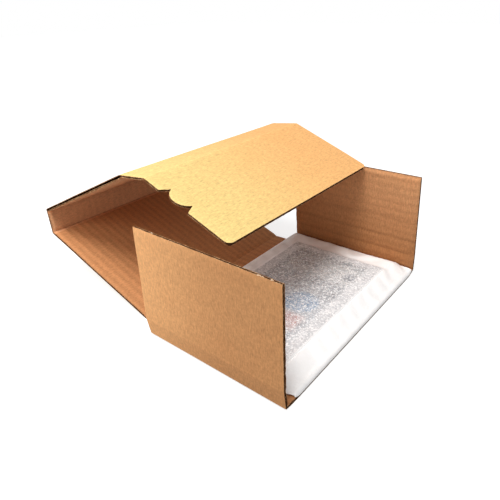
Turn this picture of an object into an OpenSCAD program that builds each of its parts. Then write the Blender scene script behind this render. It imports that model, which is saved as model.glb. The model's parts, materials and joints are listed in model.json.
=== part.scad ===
// Graded card mailer: a one-piece corrugated wrap, standing open, with a hard
// card case in a foam envelope on its base.
// Millimetres, Z up. The origin is the middle of the base's underside. X runs
// across the base to its open front edge, Y runs from side flap to side flap.
// Every panel is true fluted board: two liners on a wavy medium, with the
// flutes along X, and each fold is a round bead in a grooved edge.

/* [Board] */
// Thickness of the corrugated board
board_t = 3; // [2.6:0.1:3.6]
// Thickness of each liner
liner_t = 0.45; // [0.35:0.05:0.6]
// Thickness of the fluted medium
medium_t = 0.45; // [0.35:0.05:0.6]
// Distance from one flute to the next
flute_pitch = 6.5; // [5.5:0.1:8]

/* [Base] */
// Base, from the rear fold line to the front cut edge
base_w = 115.5; // [105:0.5:140]
// Base, from one side fold to the other
base_l = 185.5; // [170:0.5:220]
// Height that the base curls up by at its near fold
near_curl = 0.8; // [0.5:0.1:3]
// Height that the base curls up by at its far fold
far_curl = 2.5; // [0.5:0.1:3]
// Width of each strip of base that curls
curl_w = 12; // [10:0.5:16]

/* [Side flaps] */
// Side wall, from the base fold to its crease
wall_h = 14; // [12:0.2:22]
// Inner flap, from the crease to its free edge
flap_l = 69.6; // [52:0.2:80]
// How far the inner flap's rear and front edges each slope in by its top
flap_taper = 1.5; // [0.5:0.1:6]
// First spare score line on the inner flap, from the crease
score_a = 12.5; // [8:0.5:20]
// Second spare score line on the inner flap, from the crease
score_b = 29; // [22:0.5:40]
// Depth of a spare score line
score_d = 0.25; // [0.1:0.05:0.3]
// Outward lean of the near wall
near_wall_lean = 8.6; // [2:0.2:12]
// Inward bend at the near crease
near_bend = 8.6; // [2:0.2:12]
// Inward lean of the far wall
far_wall_lean = 5.4; // [1:0.2:8]
// Inward bend at the far crease
far_bend = 1.4; // [0.2:0.2:4]

/* [Cover] */
// Rear wall, from the base fold to the top panel's fold
rear_h = 17; // [15:0.1:22]
// Play that lets the front wall close over the base's front edge
front_play = 0.5; // [0.2:0.1:2]
// Play between two layers of the wrap when it is closed
wrap_play = 0.1; // [0:0.1:1]
// Closing flap, from its fold to its tip
closing_l = 70.6; // [60:0.2:84]
// Gap from the cover's near edge to the near fold line
near_gap = 8.25; // [5:0.25:14]
// Gap from the cover's far edge to the top of the far flap
far_play = 0.8; // [0.4:0.1:4]
// Fold between the rear wall and the top panel
top_fold = 19.1; // [10:0.1:24]
// Fold between the top panel and the front wall
front_fold = 69; // [60:0.5:76]
// Fold between the front wall and the under panel
under_fold = 67.2; // [62:0.2:70]
// Fold between the under panel and the outer rear wall
outer_fold = 18; // [10:0.5:24]
// Fold between the outer rear wall and the closing flap
closing_fold = 27.5; // [15:0.5:29]

/* [Tear tab] */
// First notch of the finger tab, from the closing flap's fold
tab_from = 13.2; // [8:0.2:20]
// Length of edge that the finger tab and its two notches take
tab_l = 25.2; // [22:0.2:34]
// Depth of the notches
tab_d = 7.1; // [4:0.1:9]
// Run of each notch's outer side along the edge
notch_run = 3.4; // [1:0.1:6]
// How far the tab's crown stays inside the cut edge
tab_set = 0.4; // [0.2:0.1:2]
// Radius of the closing flap's corners
tip_r = 4; // [1:0.5:10]

/* [Fold beads] */
// Running gap between a fold's bead and the groove that holds it
bead_gap = 0.2; // [0.15:0.05:0.35]
// Sharpest fold that the cover's bevels clear
cover_max_fold = 92; // [90:1:96]
// Sharpest fold that the side flaps' bevels clear
side_max_fold = 98; // [96:1:104]

/* [Foam envelope] */
// Thickness over the case
pouch_t = 9.6; // [9.2:0.1:12]
// Foam layer under the case
foam_t = 1.4; // [1:0.1:1.6]
// Gap from the envelope to the rear and front edges of the base
pouch_inset = 0.6; // [0.6:0.1:4]
// Gap from the envelope's near end to the near fold line
pouch_near = 3.4; // [3.4:0.1:10]
// Gap from the envelope's far end to the far fold line
pouch_far = 5; // [5:0.1:12]
// Width of the band over which the envelope's edges round off
pouch_round = 9; // [6:0.5:12]

/* [Card case] */
// Width of the case
case_w = 82; // [78:0.5:88]
// Length of the case
case_l = 136; // [130:0.5:142]
// Thickness of the case
case_t = 6.2; // [5.6:0.1:6.4]
// Radius of the case's corners
case_r = 3.5; // [1:0.5:6]
// Sideways offset of the case from the middle of the base
case_x = 1; // [-4:0.5:4]
// Lengthways offset of the case from the middle of the base
case_y = -2.5; // [-6:0.5:4]
// Width of the raised rim round each face
rim_w = 4; // [2:0.5:5]
// Height of the raised rim
rim_h = 0.6; // [0.2:0.1:0.8]
// Width of the trading card
card_w = 63.5; // [62:0.5:65]
// Length of the trading card
card_l = 88.9; // [87:0.1:92]
// Thickness of the card
card_t = 0.5; // [0.3:0.05:0.8]
// Thickness of the label
label_t = 0.4; // [0.3:0.05:0.6]
// Distance from the card to the end of the case
card_end = 10; // [7:0.5:14]
// Distance from the label to its end of the case
label_end = 8; // [5.5:0.5:9]
// Gap between the card and the label, which fills the rest of the case
label_gap = 4.1; // [2:0.1:6]
// Play all round the case, the card and the label
fit_gap = 0.2; // [0.1:0.05:0.3]

/* [Hidden] */

kraft = [0.78, 0.58, 0.38];
kraft_inside = [0.70, 0.52, 0.36];
foam_white = [0.94, 0.95, 0.97, 0.6];
clear = [0.85, 0.92, 0.97, 0.4];

half_t = board_t / 2;
bead_sides = 12;
arc_fn = 48;
// How far a cut runs past the face it starts from
over = 1;
tab_steps = 14;
groove_r = (half_t + bead_gap) / cos(180 / bead_sides);

// Side folds, in Y and Z
fold_y = base_l / 2;
near_fold = [-fold_y, half_t + near_curl];
far_fold = [fold_y, half_t + far_curl];
near_crease = near_fold + wall_h * [-sin(near_wall_lean), cos(near_wall_lean)];
far_crease = far_fold + wall_h * [-sin(far_wall_lean), cos(far_wall_lean)];
far_flap_lean = far_wall_lean + far_bend;

// The cover lies between the side flaps, with its far edge clear of the far flap's top
far_gap = wall_h * sin(far_wall_lean) + flap_l * sin(far_flap_lean) + half_t + far_play;
cover_y0 = -fold_y + near_gap;
cover_y1 = fold_y - far_gap;
cover_w = cover_y1 - cover_y0;
cover_mid = (cover_y0 + cover_y1) / 2;

// The wrap's panels, from the rear fold outwards: each layer goes round the one before it
front_h = rear_h + board_t + wrap_play;
outer_h = front_h + board_t + wrap_play;
top_w = base_w + half_t + front_play;
under_w = top_w + board_t + wrap_play;
panel_len = [rear_h, top_w, front_h, under_w, outer_h, closing_l];
panel_fold = [0, top_fold, front_fold, under_fold, outer_fold, closing_fold];

// Turn of panel i, and the point where it starts, in X and Z
function turn(i) = i < 0 ? 0 : panel_fold[i] + turn(i - 1);
function start(i) = i == 0
    ? [-base_w / 2, half_t]
    : start(i - 1) + panel_len[i - 1] * [-cos(turn(i - 1)), sin(turn(i - 1))];

// Height that the base's middle plane has risen by at y, and its slope at a fold that rises by c
function curl_z(y) =
    (y < 0 ? near_curl : far_curl) * pow(max(0, abs(y) - fold_y + curl_w) / curl_w, 2);
function lift(p) = [p[0], p[1] + curl_z(p[0])];
function end_slope(c) = atan(2 * c / curl_w);

// Air channel of one half flute at c, on side s of the middle plane
flute_h = half_t - liner_t;
channel_half = [0.44, 0.22, 0.10] * flute_pitch;
channel_z = [flute_h, -medium_t * 0.2, medium_t - flute_h];
function channel(c, s) = [
    for (k = [-3, -2, -1, 1, 2, 3])
        [c + sign(k) * channel_half[3 - abs(k)], s * channel_z[3 - abs(k)]]
];

// Air channels between a and b, clear of a solid margin at each edge
module channels(a, b, curled = false) {
    step = flute_pitch / 2;
    room = b - a - 2 * half_t - 2 * channel_half[0];
    count = floor(room / step) + 1;
    first = (a + b - (count - 1) * step) / 2;
    for (i = [0 : count - 1])
        polygon([
            for (p = channel(first + i * step, i % 2 == 0 ? 1 : -1))
                curled ? lift(p) : p
        ]);
}

// Section of a flat strip of board from a to b
module strip_section(a, b) {
    difference() {
        translate([a, -half_t])
            square([b - a, board_t]);
        channels(a, b);
    }
}

// Bevel that lets a fold close to the angle f, on the inner side of a panel's end
module bevel_2d(f, side) {
    run = board_t * tan(f / 2);
    polygon([
        [side * bead_gap / 2, 0],
        [side * (run + bead_gap / 2), board_t],
        [-side * board_t, board_t],
        [-side * board_t, 0]
    ]);
}

// Groove and bevel at the end of a panel that carries the next one
module fold_seat_2d(f) {
    circle(r = groove_r, $fn = bead_sides);
    bevel_2d(f, -1);
    translate([0, -board_t])
        square([board_t, 2 * board_t]);
}

// Section of a side wall or inner flap: its bead, its inner bevel and its strip of board
module side_section(len) {
    circle(r = half_t, $fn = bead_sides);
    difference() {
        strip_section(0, len);
        bevel_2d(side_max_fold, 1);
    }
}

// Spare score lines, pressed into the inner face
module score_lines() {
    for (s = [score_a, score_b])
        translate([s, half_t])
            polygon([[-score_d * 2, 0], [0, -score_d], [score_d * 2, 0]]);
}

// Frame of a side panel: X from its fold p upwards, Y on its inner side, Z along the flutes
module on_side(p, lean, far) {
    translate([-base_w / 2, p[0], p[1]])
        mirror([0, far ? 0 : 1, 0])
            rotate([90 - lean, 0, 0])
                rotate([90, 0, 90])
                    children();
}

module side_wall(p, lean, far) {
    on_side(p, lean, far)
        linear_extrude(height = base_w)
            difference() {
                side_section(wall_h);
                translate([wall_h, 0])
                    fold_seat_2d(side_max_fold);
            }
}

module inner_flap(p, lean, far) {
    on_side(p, lean, far)
        difference() {
            linear_extrude(height = base_w)
                difference() {
                    side_section(flap_l);
                    score_lines();
                }
            // Sloping rear and front edges
            rotate([90, 0, 0])
                linear_extrude(height = 2 * board_t, center = true)
                    for (s = [0, 1])
                        translate([0, s * base_w])
                            mirror([0, s])
                                polygon([[0, 0], [flap_l, flap_taper], [flap_l, -over], [0, -over]]);
        }
}

module base_section() {
    steps = 6;
    ys = concat(
        [for (i = [steps : -1 : 0]) -fold_y + curl_w * (1 - i / steps)],
        [for (i = [0 : steps]) fold_y - curl_w * (1 - i / steps)]
    );
    difference() {
        polygon(concat(
            [for (y = ys) lift([y, -half_t])],
            [for (i = [len(ys) - 1 : -1 : 0]) lift([ys[i], half_t])]
        ));
        channels(-fold_y, fold_y, true);
    }
}

module base_panel() {
    color(kraft_inside)
    difference() {
        translate([-base_w / 2, 0, half_t])
            rotate([90, 0, 90])
                linear_extrude(height = base_w)
                    difference() {
                        base_section();
                        for (s = [0, 1], c = [s == 0 ? far_curl : near_curl])
                            mirror([s, 0])
                                translate([fold_y, c])
                                    rotate(end_slope(c))
                                        fold_seat_2d(side_max_fold - end_slope(c));
                    }
        cover_seat(0, cover_max_fold);
    }
}

// Frame of cover panel i: X along it, Y towards the near flap, Z on its inner side
module on_panel(i) {
    p = start(i);
    translate([p[0], cover_mid, p[1]])
        rotate([0, turn(i), 0])
            rotate([0, 0, 180])
                children();
}

// What the groove and bevel of fold i take out of the panel before it
module cover_seat(i, f) {
    p = start(i);
    translate([p[0], cover_mid, p[1]])
        rotate([0, turn(i - 1), 0])
            rotate([0, 0, 180])
                rotate([90, 0, 0])
                    linear_extrude(height = cover_w + 2 * bead_gap, center = true)
                        fold_seat_2d(f);
}

// Cover panel i: bead and bevel at its start, open flutes along its length
module cover_board(i) {
    on_panel(i) {
        rotate([90, 0, 0])
            linear_extrude(height = cover_w, center = true)
                circle(r = half_t, $fn = bead_sides);
        difference() {
            rotate([90, 0, 90])
                linear_extrude(height = panel_len[i])
                    strip_section(-cover_w / 2, cover_w / 2);
            rotate([90, 0, 0])
                linear_extrude(height = cover_w + over, center = true)
                    bevel_2d(cover_max_fold, 1);
        }
    }
}

module cover_panel(i) {
    difference() {
        cover_board(i);
        if (i < 5)
            cover_seat(i + 1, cover_max_fold);
    }
}

module rear_wall() {
    color(kraft_inside) cover_panel(0);
}

module top_panel() {
    color(kraft_inside) cover_panel(1);
}

module front_wall() {
    color(kraft_inside) cover_panel(2);
}

module under_panel() {
    color(kraft) cover_panel(3);
}

module outer_rear_wall() {
    color(kraft) cover_panel(4);
}

// Waste cut out round the finger tab: a bay with sloping ends, less the round tab
module tab_cut() {
    rise = tab_d - tab_set;
    half_chord = tab_l / 2 - notch_run;
    r = (pow(half_chord, 2) + pow(rise, 2)) / (2 * rise);
    sweep = acos(1 - rise / r);
    crown = [
        for (i = [1 - tab_steps : 2 : tab_steps - 1])
            [tab_l / 2 + r * sin(sweep * i / tab_steps), r * (cos(sweep * i / tab_steps) - 1) - tab_set]
    ];
    polygon(concat(
        [[0, over], [0, 0], [notch_run, -tab_d]],
        crown,
        [[tab_l - notch_run, -tab_d], [tab_l, 0], [tab_l, over]]
    ));
}

// Waste at a rounded corner of the closing flap
module corner_cut() {
    difference() {
        translate([-tip_r, -tip_r])
            square(tip_r + over);
        translate([-tip_r, -tip_r])
            circle(r = tip_r, $fn = arc_fn);
    }
}

module closing_flap() {
    color(kraft)
    difference() {
        cover_panel(5);
        on_panel(5)
            linear_extrude(height = 3 * board_t, center = true) {
                translate([tab_from, cover_w / 2])
                    tab_cut();
                for (s = [0, 1])
                    mirror([0, s])
                        translate([closing_l, cover_w / 2])
                            corner_cut();
            }
    }
}

module near_side_wall() {
    color(kraft) side_wall(near_fold, near_wall_lean, false);
}

module near_inner_flap() {
    color(kraft) inner_flap(near_crease, near_wall_lean - near_bend, false);
}

module far_side_wall() {
    color(kraft_inside) side_wall(far_fold, -far_wall_lean, true);
}

module far_inner_flap() {
    color(kraft_inside) inner_flap(far_crease, -far_flap_lean, true);
}

// Foam envelope: a flat pillow whose edges round off
pouch_a = -fold_y + pouch_near;
pouch_b = fold_y - pouch_far;
pouch_half = base_w / 2 - pouch_inset;
pouch_steps = 6;
// Thickness at its very edge, as a share of the full thickness
edge_share = 0.42;
mouth_h = 0.6;
insets = [for (i = [0 : pouch_steps]) pouch_round * i / pouch_steps];
insets_back = [for (i = [pouch_steps : -1 : 0]) insets[i]];
function pillow_z(s) = board_t + pouch_t * (edge_share + (1 - edge_share) * sin(90 * s / pouch_round));
function rest_z(y) = board_t + (curl_z(y) > 0 ? curl_z(y) + bead_gap : 0);

// Pillow section from a to b. Its underside follows the base's curl where curled is set
module pillow_section(a, b, curled = false) {
    polygon(concat(
        [for (s = insets) [a + s, pillow_z(s)]],
        [for (s = insets_back) [b - s, pillow_z(s)]],
        [for (s = insets) [b - s, curled ? rest_z(b - s) : board_t]],
        [for (s = insets_back) [a + s, curled ? rest_z(a + s) : board_t]]
    ));
}

module foam_envelope() {
    color(foam_white)
    difference() {
        intersection() {
            rotate([90, 0, 90])
                linear_extrude(height = 2 * pouch_half, center = true)
                    pillow_section(pouch_a, pouch_b, true);
            translate([0, (pouch_a + pouch_b) / 2, 0])
                rotate([90, 0, 0])
                    linear_extrude(height = pouch_b - pouch_a, center = true)
                        pillow_section(-pouch_half, pouch_half);
        }
        // The hollow that holds the case
        translate([case_x, case_y, board_t + foam_t])
            linear_extrude(height = case_t + 2 * fit_gap)
                case_outline(fit_gap);
        // The pinched mouth at its far end
        translate([case_x - case_w / 2, case_y, board_t + foam_t + mouth_h])
            cube([case_w, base_l, mouth_h]);
    }
}

// Card case: two clear shells that meet at half height, with a raised rim on each face
case_z = board_t + foam_t + fit_gap;
case_split = case_t / 2;
card_y = card_end + (card_l - case_l) / 2;
label_l = case_l - card_end - card_l - label_gap - label_end;
label_y = (case_l - label_l) / 2 - label_end;

module on_case() {
    translate([case_x, case_y, case_z])
        children();
}

// Rounded outline of the case, grown by g all round
module case_outline(g) {
    w = case_w / 2;
    l = case_l / 2;
    r = case_r + g;
    square([case_w + 2 * g, case_l - 2 * case_r], center = true);
    square([case_w - 2 * case_r, case_l + 2 * g], center = true);
    for (sx = [-1, 1], sy = [-1, 1])
        translate([sx * (w - case_r), sy * (l - case_r)])
            circle(r = r, $fn = arc_fn);
}

// Block of w by l at y, from z0 up
module block(w, l, h, y = 0, z0 = 0) {
    translate([-w / 2, y - l / 2, z0])
        cube([w, l, h]);
}

// Pocket for a slip of w by l and thickness t, open at the split between the shells
module pocket(w, l, t, y) {
    block(w + 2 * fit_gap, l + 2 * fit_gap, case_t, y, case_split - t - fit_gap);
}

module case_back() {
    color(clear)
    on_case()
        difference() {
            linear_extrude(height = case_split)
                case_outline(0);
            block(case_w - 2 * rim_w, case_l - 2 * rim_w, 2 * rim_h, 0, -rim_h);
            pocket(card_w, card_l, card_t, card_y);
            pocket(card_w, label_l, label_t, label_y);
        }
}

module case_front() {
    color(clear)
    on_case()
        difference() {
            translate([0, 0, case_split])
                linear_extrude(height = case_t - case_split)
                    case_outline(0);
            block(case_w - 2 * rim_w, case_l - 2 * rim_w, 2 * rim_h, 0, case_t - rim_h);
        }
}

module trading_card() {
    color([0.45, 0.55, 0.70])
    on_case()
        block(card_w, card_l, card_t, card_y, case_split - card_t - fit_gap / 2);
}

module label_slip() {
    color([0.95, 0.94, 0.90])
    on_case()
        block(card_w, label_l, label_t, label_y, case_split - label_t - fit_gap / 2);
}

base_panel();
near_side_wall();
near_inner_flap();
far_side_wall();
far_inner_flap();
rear_wall();
top_panel();
front_wall();
under_panel();
outer_rear_wall();
closing_flap();
foam_envelope();
case_back();
case_front();
trading_card();
label_slip();
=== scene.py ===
# %% [markdown]
# # A corrugated mailer, standing open, with a card case in foam
#
# The solids of this part are already exact: they carry the board's thickness, its
# flutes, the folds and the case. This lesson dresses them. We rebuild every sheet of
# board as what it really is, two thin liners on a wavy medium, we carry the liners
# round each fold, and we lay a soft foam envelope on the base.
#
# Everything is in metres, with the middle of the base's underside at the origin.

import json
import math

import bmesh
import bpy
import numpy as np
from mathutils import Matrix, Vector


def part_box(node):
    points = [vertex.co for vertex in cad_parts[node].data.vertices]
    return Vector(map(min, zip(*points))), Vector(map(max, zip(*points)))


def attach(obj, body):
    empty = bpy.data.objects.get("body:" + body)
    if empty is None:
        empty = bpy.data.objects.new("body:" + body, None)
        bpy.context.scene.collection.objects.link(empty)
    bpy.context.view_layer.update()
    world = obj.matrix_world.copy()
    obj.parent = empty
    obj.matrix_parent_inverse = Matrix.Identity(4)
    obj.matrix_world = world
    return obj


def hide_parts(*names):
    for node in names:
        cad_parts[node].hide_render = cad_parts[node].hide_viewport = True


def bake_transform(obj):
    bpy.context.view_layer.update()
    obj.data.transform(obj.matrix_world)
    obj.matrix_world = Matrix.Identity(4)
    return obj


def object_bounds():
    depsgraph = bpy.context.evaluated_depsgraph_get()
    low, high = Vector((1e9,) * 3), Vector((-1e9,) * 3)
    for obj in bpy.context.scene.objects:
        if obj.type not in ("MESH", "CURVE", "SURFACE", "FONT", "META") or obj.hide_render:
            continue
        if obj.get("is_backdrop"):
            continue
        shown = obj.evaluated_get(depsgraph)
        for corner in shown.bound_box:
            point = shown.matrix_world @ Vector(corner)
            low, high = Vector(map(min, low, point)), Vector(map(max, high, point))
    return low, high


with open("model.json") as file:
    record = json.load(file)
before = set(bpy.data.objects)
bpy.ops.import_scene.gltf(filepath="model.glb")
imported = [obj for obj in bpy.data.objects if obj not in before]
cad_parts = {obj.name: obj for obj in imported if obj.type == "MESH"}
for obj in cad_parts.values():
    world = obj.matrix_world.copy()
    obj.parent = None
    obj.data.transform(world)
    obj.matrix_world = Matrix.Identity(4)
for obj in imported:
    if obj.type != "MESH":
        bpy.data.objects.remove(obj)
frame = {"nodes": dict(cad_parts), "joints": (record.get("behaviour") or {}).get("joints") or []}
cad_low, cad_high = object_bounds()
scene = bpy.context.scene
scene.view_settings.view_transform = "Standard"

# %% [markdown]
# ## Camera
#
# The picture was taken from the near right corner, a little above the mailer. The
# camera's place and focal length were worked out from the fold lines, so the fold
# lines of the model land on those of the picture. We build the camera's matrix from
# its azimuth, its elevation and a small roll.

# %% Make the camera
CAMERA_AT = Vector((0.1625, -0.2485, 0.2054))
AZIMUTH, ELEVATION, ROLL = math.radians(39.5), math.radians(28.36), math.radians(-1.8)
FOCAL_SHARE = 459.1 / 500  # focal length over the picture's width
SENSOR = 36

back = Vector((
    math.sin(AZIMUTH) * math.cos(ELEVATION),
    -math.cos(AZIMUTH) * math.cos(ELEVATION),
    math.sin(ELEVATION),
))
level = Vector((0, 0, 1)).cross(back).normalized()
upright = back.cross(level)
right = math.cos(ROLL) * level + math.sin(ROLL) * upright
up = -math.sin(ROLL) * level + math.cos(ROLL) * upright

lens = bpy.data.cameras.new("camera")
lens.sensor_fit = "HORIZONTAL"
lens.sensor_width = SENSOR
lens.lens = SENSOR * FOCAL_SHARE
lens.clip_start = 0.01
camera = bpy.data.objects.new("camera", lens)
camera.matrix_world = Matrix((
    (right.x, up.x, back.x, CAMERA_AT.x),
    (right.y, up.y, back.y, CAMERA_AT.y),
    (right.z, up.z, back.z, CAMERA_AT.z),
    (0, 0, 0, 1),
))
scene.collection.objects.link(camera)
scene.camera = camera
print("lens", round(lens.lens, 2), "mm")

# %% [markdown]
# ## A small language for finishes
#
# A finish is a tree of nodes. Written link by link it is long and hard to read, so we
# wrap a socket in a small class, and ordinary arithmetic on it adds the Math nodes.

# %% Sockets that can be added and multiplied
class Value:
    """The output of a node, which takes part in arithmetic."""

    def __init__(self, finish, socket):
        self.finish, self.socket = finish, socket

    def _math(self, operation, first, second=None):
        inputs = {0: first} if second is None else {0: first, 1: second}
        return self.finish.node("ShaderNodeMath", {"operation": operation}, inputs)

    def __add__(self, other):
        return self._math("ADD", self, other)

    def __radd__(self, other):
        return self._math("ADD", other, self)

    def __sub__(self, other):
        return self._math("SUBTRACT", self, other)

    def __rsub__(self, other):
        return self._math("SUBTRACT", other, self)

    def __mul__(self, other):
        return self._math("MULTIPLY", self, other)

    def __rmul__(self, other):
        return self._math("MULTIPLY", other, self)

    def __pow__(self, other):
        return self._math("POWER", self, other)

    def sine(self):
        return self._math("SINE", self)

    def size(self):
        return self._math("ABSOLUTE", self)

    def least(self, other):
        return self._math("MINIMUM", self, other)

    def most(self, other):
        return self._math("MAXIMUM", self, other)

    def above(self, low, high):
        """0 below low, 1 above high, and a smooth rise between."""
        return self.finish.node(
            "ShaderNodeMapRange",
            {"interpolation_type": "SMOOTHSTEP"},
            {"Value": self, 1: low, 2: high, 3: 0.0, 4: 1.0},
        )


# %% [markdown]
# Any other node comes from one method, `node`, which takes the node's type, its
# settings and the values of its sockets. The patterns that we need often, such as noise
# and cells, get short names of their own, and all of them read the object's own
# coordinates, in metres.

# %% A finish and its nodes
class Finish:
    """A material, and the node tree behind its Principled shader."""

    def __init__(self, name, **constants):
        self.material = bpy.data.materials.new(name)
        self.material.use_nodes = True
        self.tree = self.material.node_tree
        self.shader = self.tree.nodes["Principled BSDF"]
        for socket, value in constants.items():
            self.shader.inputs[socket.replace("_", " ")].default_value = value

    def node(self, kind, settings=None, inputs=None, output=0):
        made = self.tree.nodes.new(kind)
        for key, value in (settings or {}).items():
            setattr(made, key, value)
        for key, value in (inputs or {}).items():
            self._join(made.inputs[key], value)
        return Value(self, made.outputs[output])

    def _join(self, socket, value):
        if isinstance(value, Value):
            self.tree.links.new(value.socket, socket)
        elif socket.type == "RGBA" and len(value) == 3:
            socket.default_value = (*value, 1)
        else:
            socket.default_value = value

    def set(self, **inputs):
        for key, value in inputs.items():
            self._join(self.shader.inputs[key.replace("_", " ")], value)
        return self

    def place(self, stretch=(1, 1, 1)):
        """Object coordinates, stretched along each axis."""
        here = self.node("ShaderNodeTexCoord", output=3)
        return self.node("ShaderNodeMapping", inputs={"Vector": here, "Scale": stretch})

    def axis(self, letter):
        here = self.node("ShaderNodeTexCoord", output=3)
        return self.node("ShaderNodeSeparateXYZ", inputs={0: here}, output="XYZ".index(letter))

    def noise(self, scale, detail=2.0, stretch=(1, 1, 1), roughness=0.5):
        return self.node("ShaderNodeTexNoise", inputs={
            "Vector": self.place(stretch), "Scale": scale, "Detail": detail, "Roughness": roughness,
        })

    def cells(self, scale, stretch=(1, 1, 1), output=0):
        """Cells round scattered points: output 0 is the distance from them, 1 a colour for each."""
        inputs = {"Vector": self.place(stretch), "Scale": scale}
        return self.node("ShaderNodeTexVoronoi", inputs=inputs, output=output)

    def mix(self, factor, first, second, blend="MIX"):
        return self.node(
            "ShaderNodeMix",
            {"data_type": "RGBA", "blend_type": blend},
            {0: factor, 6: first, 7: second},
            2,
        )

    def painted(self, name):
        """A value that the mesh carries at each point."""
        return self.node("ShaderNodeAttribute", {"attribute_name": name}, output=2)

    def bump(self, height, distance, strength=1.0):
        return self.node(
            "ShaderNodeBump", inputs={"Height": height, "Distance": distance, "Strength": strength}
        )


def linear(red, green, blue):
    """A colour as it looks on a screen, from 0 to 255, turned to the light that it stands for."""
    def one(c):
        c = c / 255
        return c / 12.92 if c <= 0.04045 else ((c + 0.055) / 1.055) ** 2.4
    return (one(red), one(green), one(blue))


print("half of full light looks like", next(k for k in range(256) if linear(k, k, k)[0] > 0.5), "of 255")

# %% [markdown]
# ## Kraft paper
#
# Kraft is not one brown. Long fibres lie along the paper machine's direction, which is
# across the flutes. There are clouds of lighter and darker pulp a few centimetres wide,
# a grain of about a millimetre, and scattered dark flecks. Over the flutes the liner
# sinks a little, and its colour is painted in soft light and dark stripes over them, as
# painted shade of that relief. The folds and cut edges carry a mask that the mesh paints
# as an attribute, so that it follows the shape: on the outer liners it lightens the paper
# as wear, and on the inner liners it darkens the folds as painted shade in the creases.
#
# One function makes the whole family: the outer liners of the cover and the side flaps,
# and their inner liners. The cover's outside is a brighter, yellower copy of the flaps'
# outside, as painted light, and a sheet's tone can fade from one end to the other, as
# painted light and shade.

# %% Make the kraft finishes
PITCH = 0.0065  # one flute to the next
FIBRE_DRAWN = 0.22  # the pattern's scale along the fibres, over that across them
WARM_PULP = linear(196, 136, 84)


def kraft(name, tone, fibres, stripe_axis, stripe_shade, fold_tone=0.10, painted_light_fade=None):
    """Kraft liner. fibres is the axis that the fibres lie along, and stripe_shade the strength of the
    washboard stripes, painted shade in the colour.

    painted_light_fade is the tone at the sheet's other end, with the axis and the places between which it
    changes, as painted light and shade."""
    f = Finish(name, Specular_IOR_Level=0.18)
    stretch = tuple(FIBRE_DRAWN if axis == fibres else 1.0 for axis in "XYZ")
    cloud = f.noise(38, 3.0)
    grain = f.noise(700, 3.0, roughness=0.75)
    fibre = f.noise(1300, 2.0, stretch)
    fleck = f.cells(520, stretch)
    pick = f.noise(140, 0.0)
    fleck = (1.0 - fleck.above(0.05, 0.20)) * pick.above(0.50, 0.60)
    across = f.axis(stripe_axis)
    # The washboard stripes in the colour are painted shade of the liner's sink between the flutes.
    washboard = (across * (2 * math.pi / PITCH)).sine()
    shade = 1.0 + (cloud - 0.5) * 0.10 + (grain - 0.5) * 0.62 + (fibre - 0.5) * 0.62
    shade = shade + washboard * stripe_shade - fleck * 0.20
    # The wear_and_shade mask lightens the outer liners as wear; on the inner liners fold_tone is
    # negative, and it darkens the folds, cut edges and score lines as painted shade.
    shade = shade + f.painted("wear_and_shade") * fold_tone
    base = tone
    if painted_light_fade:
        other, axis, start, end = painted_light_fade
        base = f.mix(f.axis(axis).above(start, end), tone, other)
    grey = f.node("ShaderNodeCombineColor", inputs={0: shade, 1: shade, 2: shade})
    light = f.mix(1.0, base, grey, "MULTIPLY")
    warm = f.mix((cloud - 0.42) * 1.2, light, WARM_PULP, "MULTIPLY")
    paper = f.mix(0.20, light, warm)
    height = grain * 0.5 + fibre * 0.5 - fleck * 0.2
    f.set(Base_Color=paper, Roughness=0.82 + (grain - 0.5) * 0.2, Normal=f.bump(height, 0.00012, 0.55))
    return f.material


# Painted light: the cover's outside is a brighter, yellower copy of the flaps' outer kraft, and it turns
# from yellow at the near end to orange at the far end.
kraft_top = kraft(
    "kraft_cover_outside", linear(223, 197, 129), "Y", "Y", 0.010,
    painted_light_fade=(linear(232, 176, 114), "Y", -0.105, 0.060),
)
# Painted shade: the flaps' outside darkens from the rear towards the front.
kraft_side = kraft(
    "kraft_flap_outside", linear(220, 165, 112), "Z", "Z", 0.006, fold_tone=0.05,
    painted_light_fade=(linear(190, 138, 91), "X", -0.070, 0.030),
)
# The inner liners take a negative fold_tone: their folds, cut edges and score lines are darkened as
# painted shade.
kraft_in_long = kraft("kraft_cover_inside", linear(190, 133, 88), "Y", "Y", 0.085, fold_tone=-0.22)
# A lighter copy of the inner kraft, as painted light on the cover's third and fourth panels, with deep
# painted shade in their creases.
kraft_in_wall = kraft("kraft_wall_inside", linear(210, 154, 112), "Y", "Y", 0.030, fold_tone=-0.48)
# Painted shade: the flaps' inside is darker towards the bottom.
kraft_in_side = kraft(
    "kraft_flap_inside", linear(172, 117, 74), "Z", "Z", 0.020, fold_tone=-0.16,
    painted_light_fade=(linear(212, 153, 106), "Z", 0.010, 0.080),
)
print("kraft finishes: 5")

# %% [markdown]
# The medium is a rougher, darker paper than the liners, and its colour is made darker
# still, as painted shade deep in the flute cells. Its waves only show at the cut edges,
# mostly in shadow, as a row of dark cells. The raw edge of a liner is paler than its face,
# because the knife opens up fresh fibres, and it is speckled with torn ends.

# %% Make the finishes of the medium and the cut edges
# The medium's colour is made darker than the paper, as painted shade deep in the flute cells.
medium = Finish("fluting_medium", Specular_IOR_Level=0.0)
pulp = medium.noise(900, 3.0, roughness=0.65)
medium.set(
    Base_Color=medium.mix(pulp, linear(60, 36, 22), linear(112, 74, 46)),
    Roughness=0.8 + (pulp - 0.5) * 0.2,
    Normal=medium.bump(pulp, 0.00010, 0.5),
)

raw = Finish("raw_edge", Specular_IOR_Level=0.0)
torn = raw.noise(1300, 3.0, roughness=0.75)
cut = raw.noise(260, 1.0)
raw.set(
    Base_Color=raw.mix(
        torn.above(0.42, 0.66) * cut.above(0.35, 0.6),
        linear(132, 90, 60),
        linear(228, 184, 138),
    ),
    Roughness=0.86 + (torn - 0.5) * 0.2,
    Normal=raw.bump(torn, 0.00015, 0.8),
)
print("edge finishes: 2")

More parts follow.
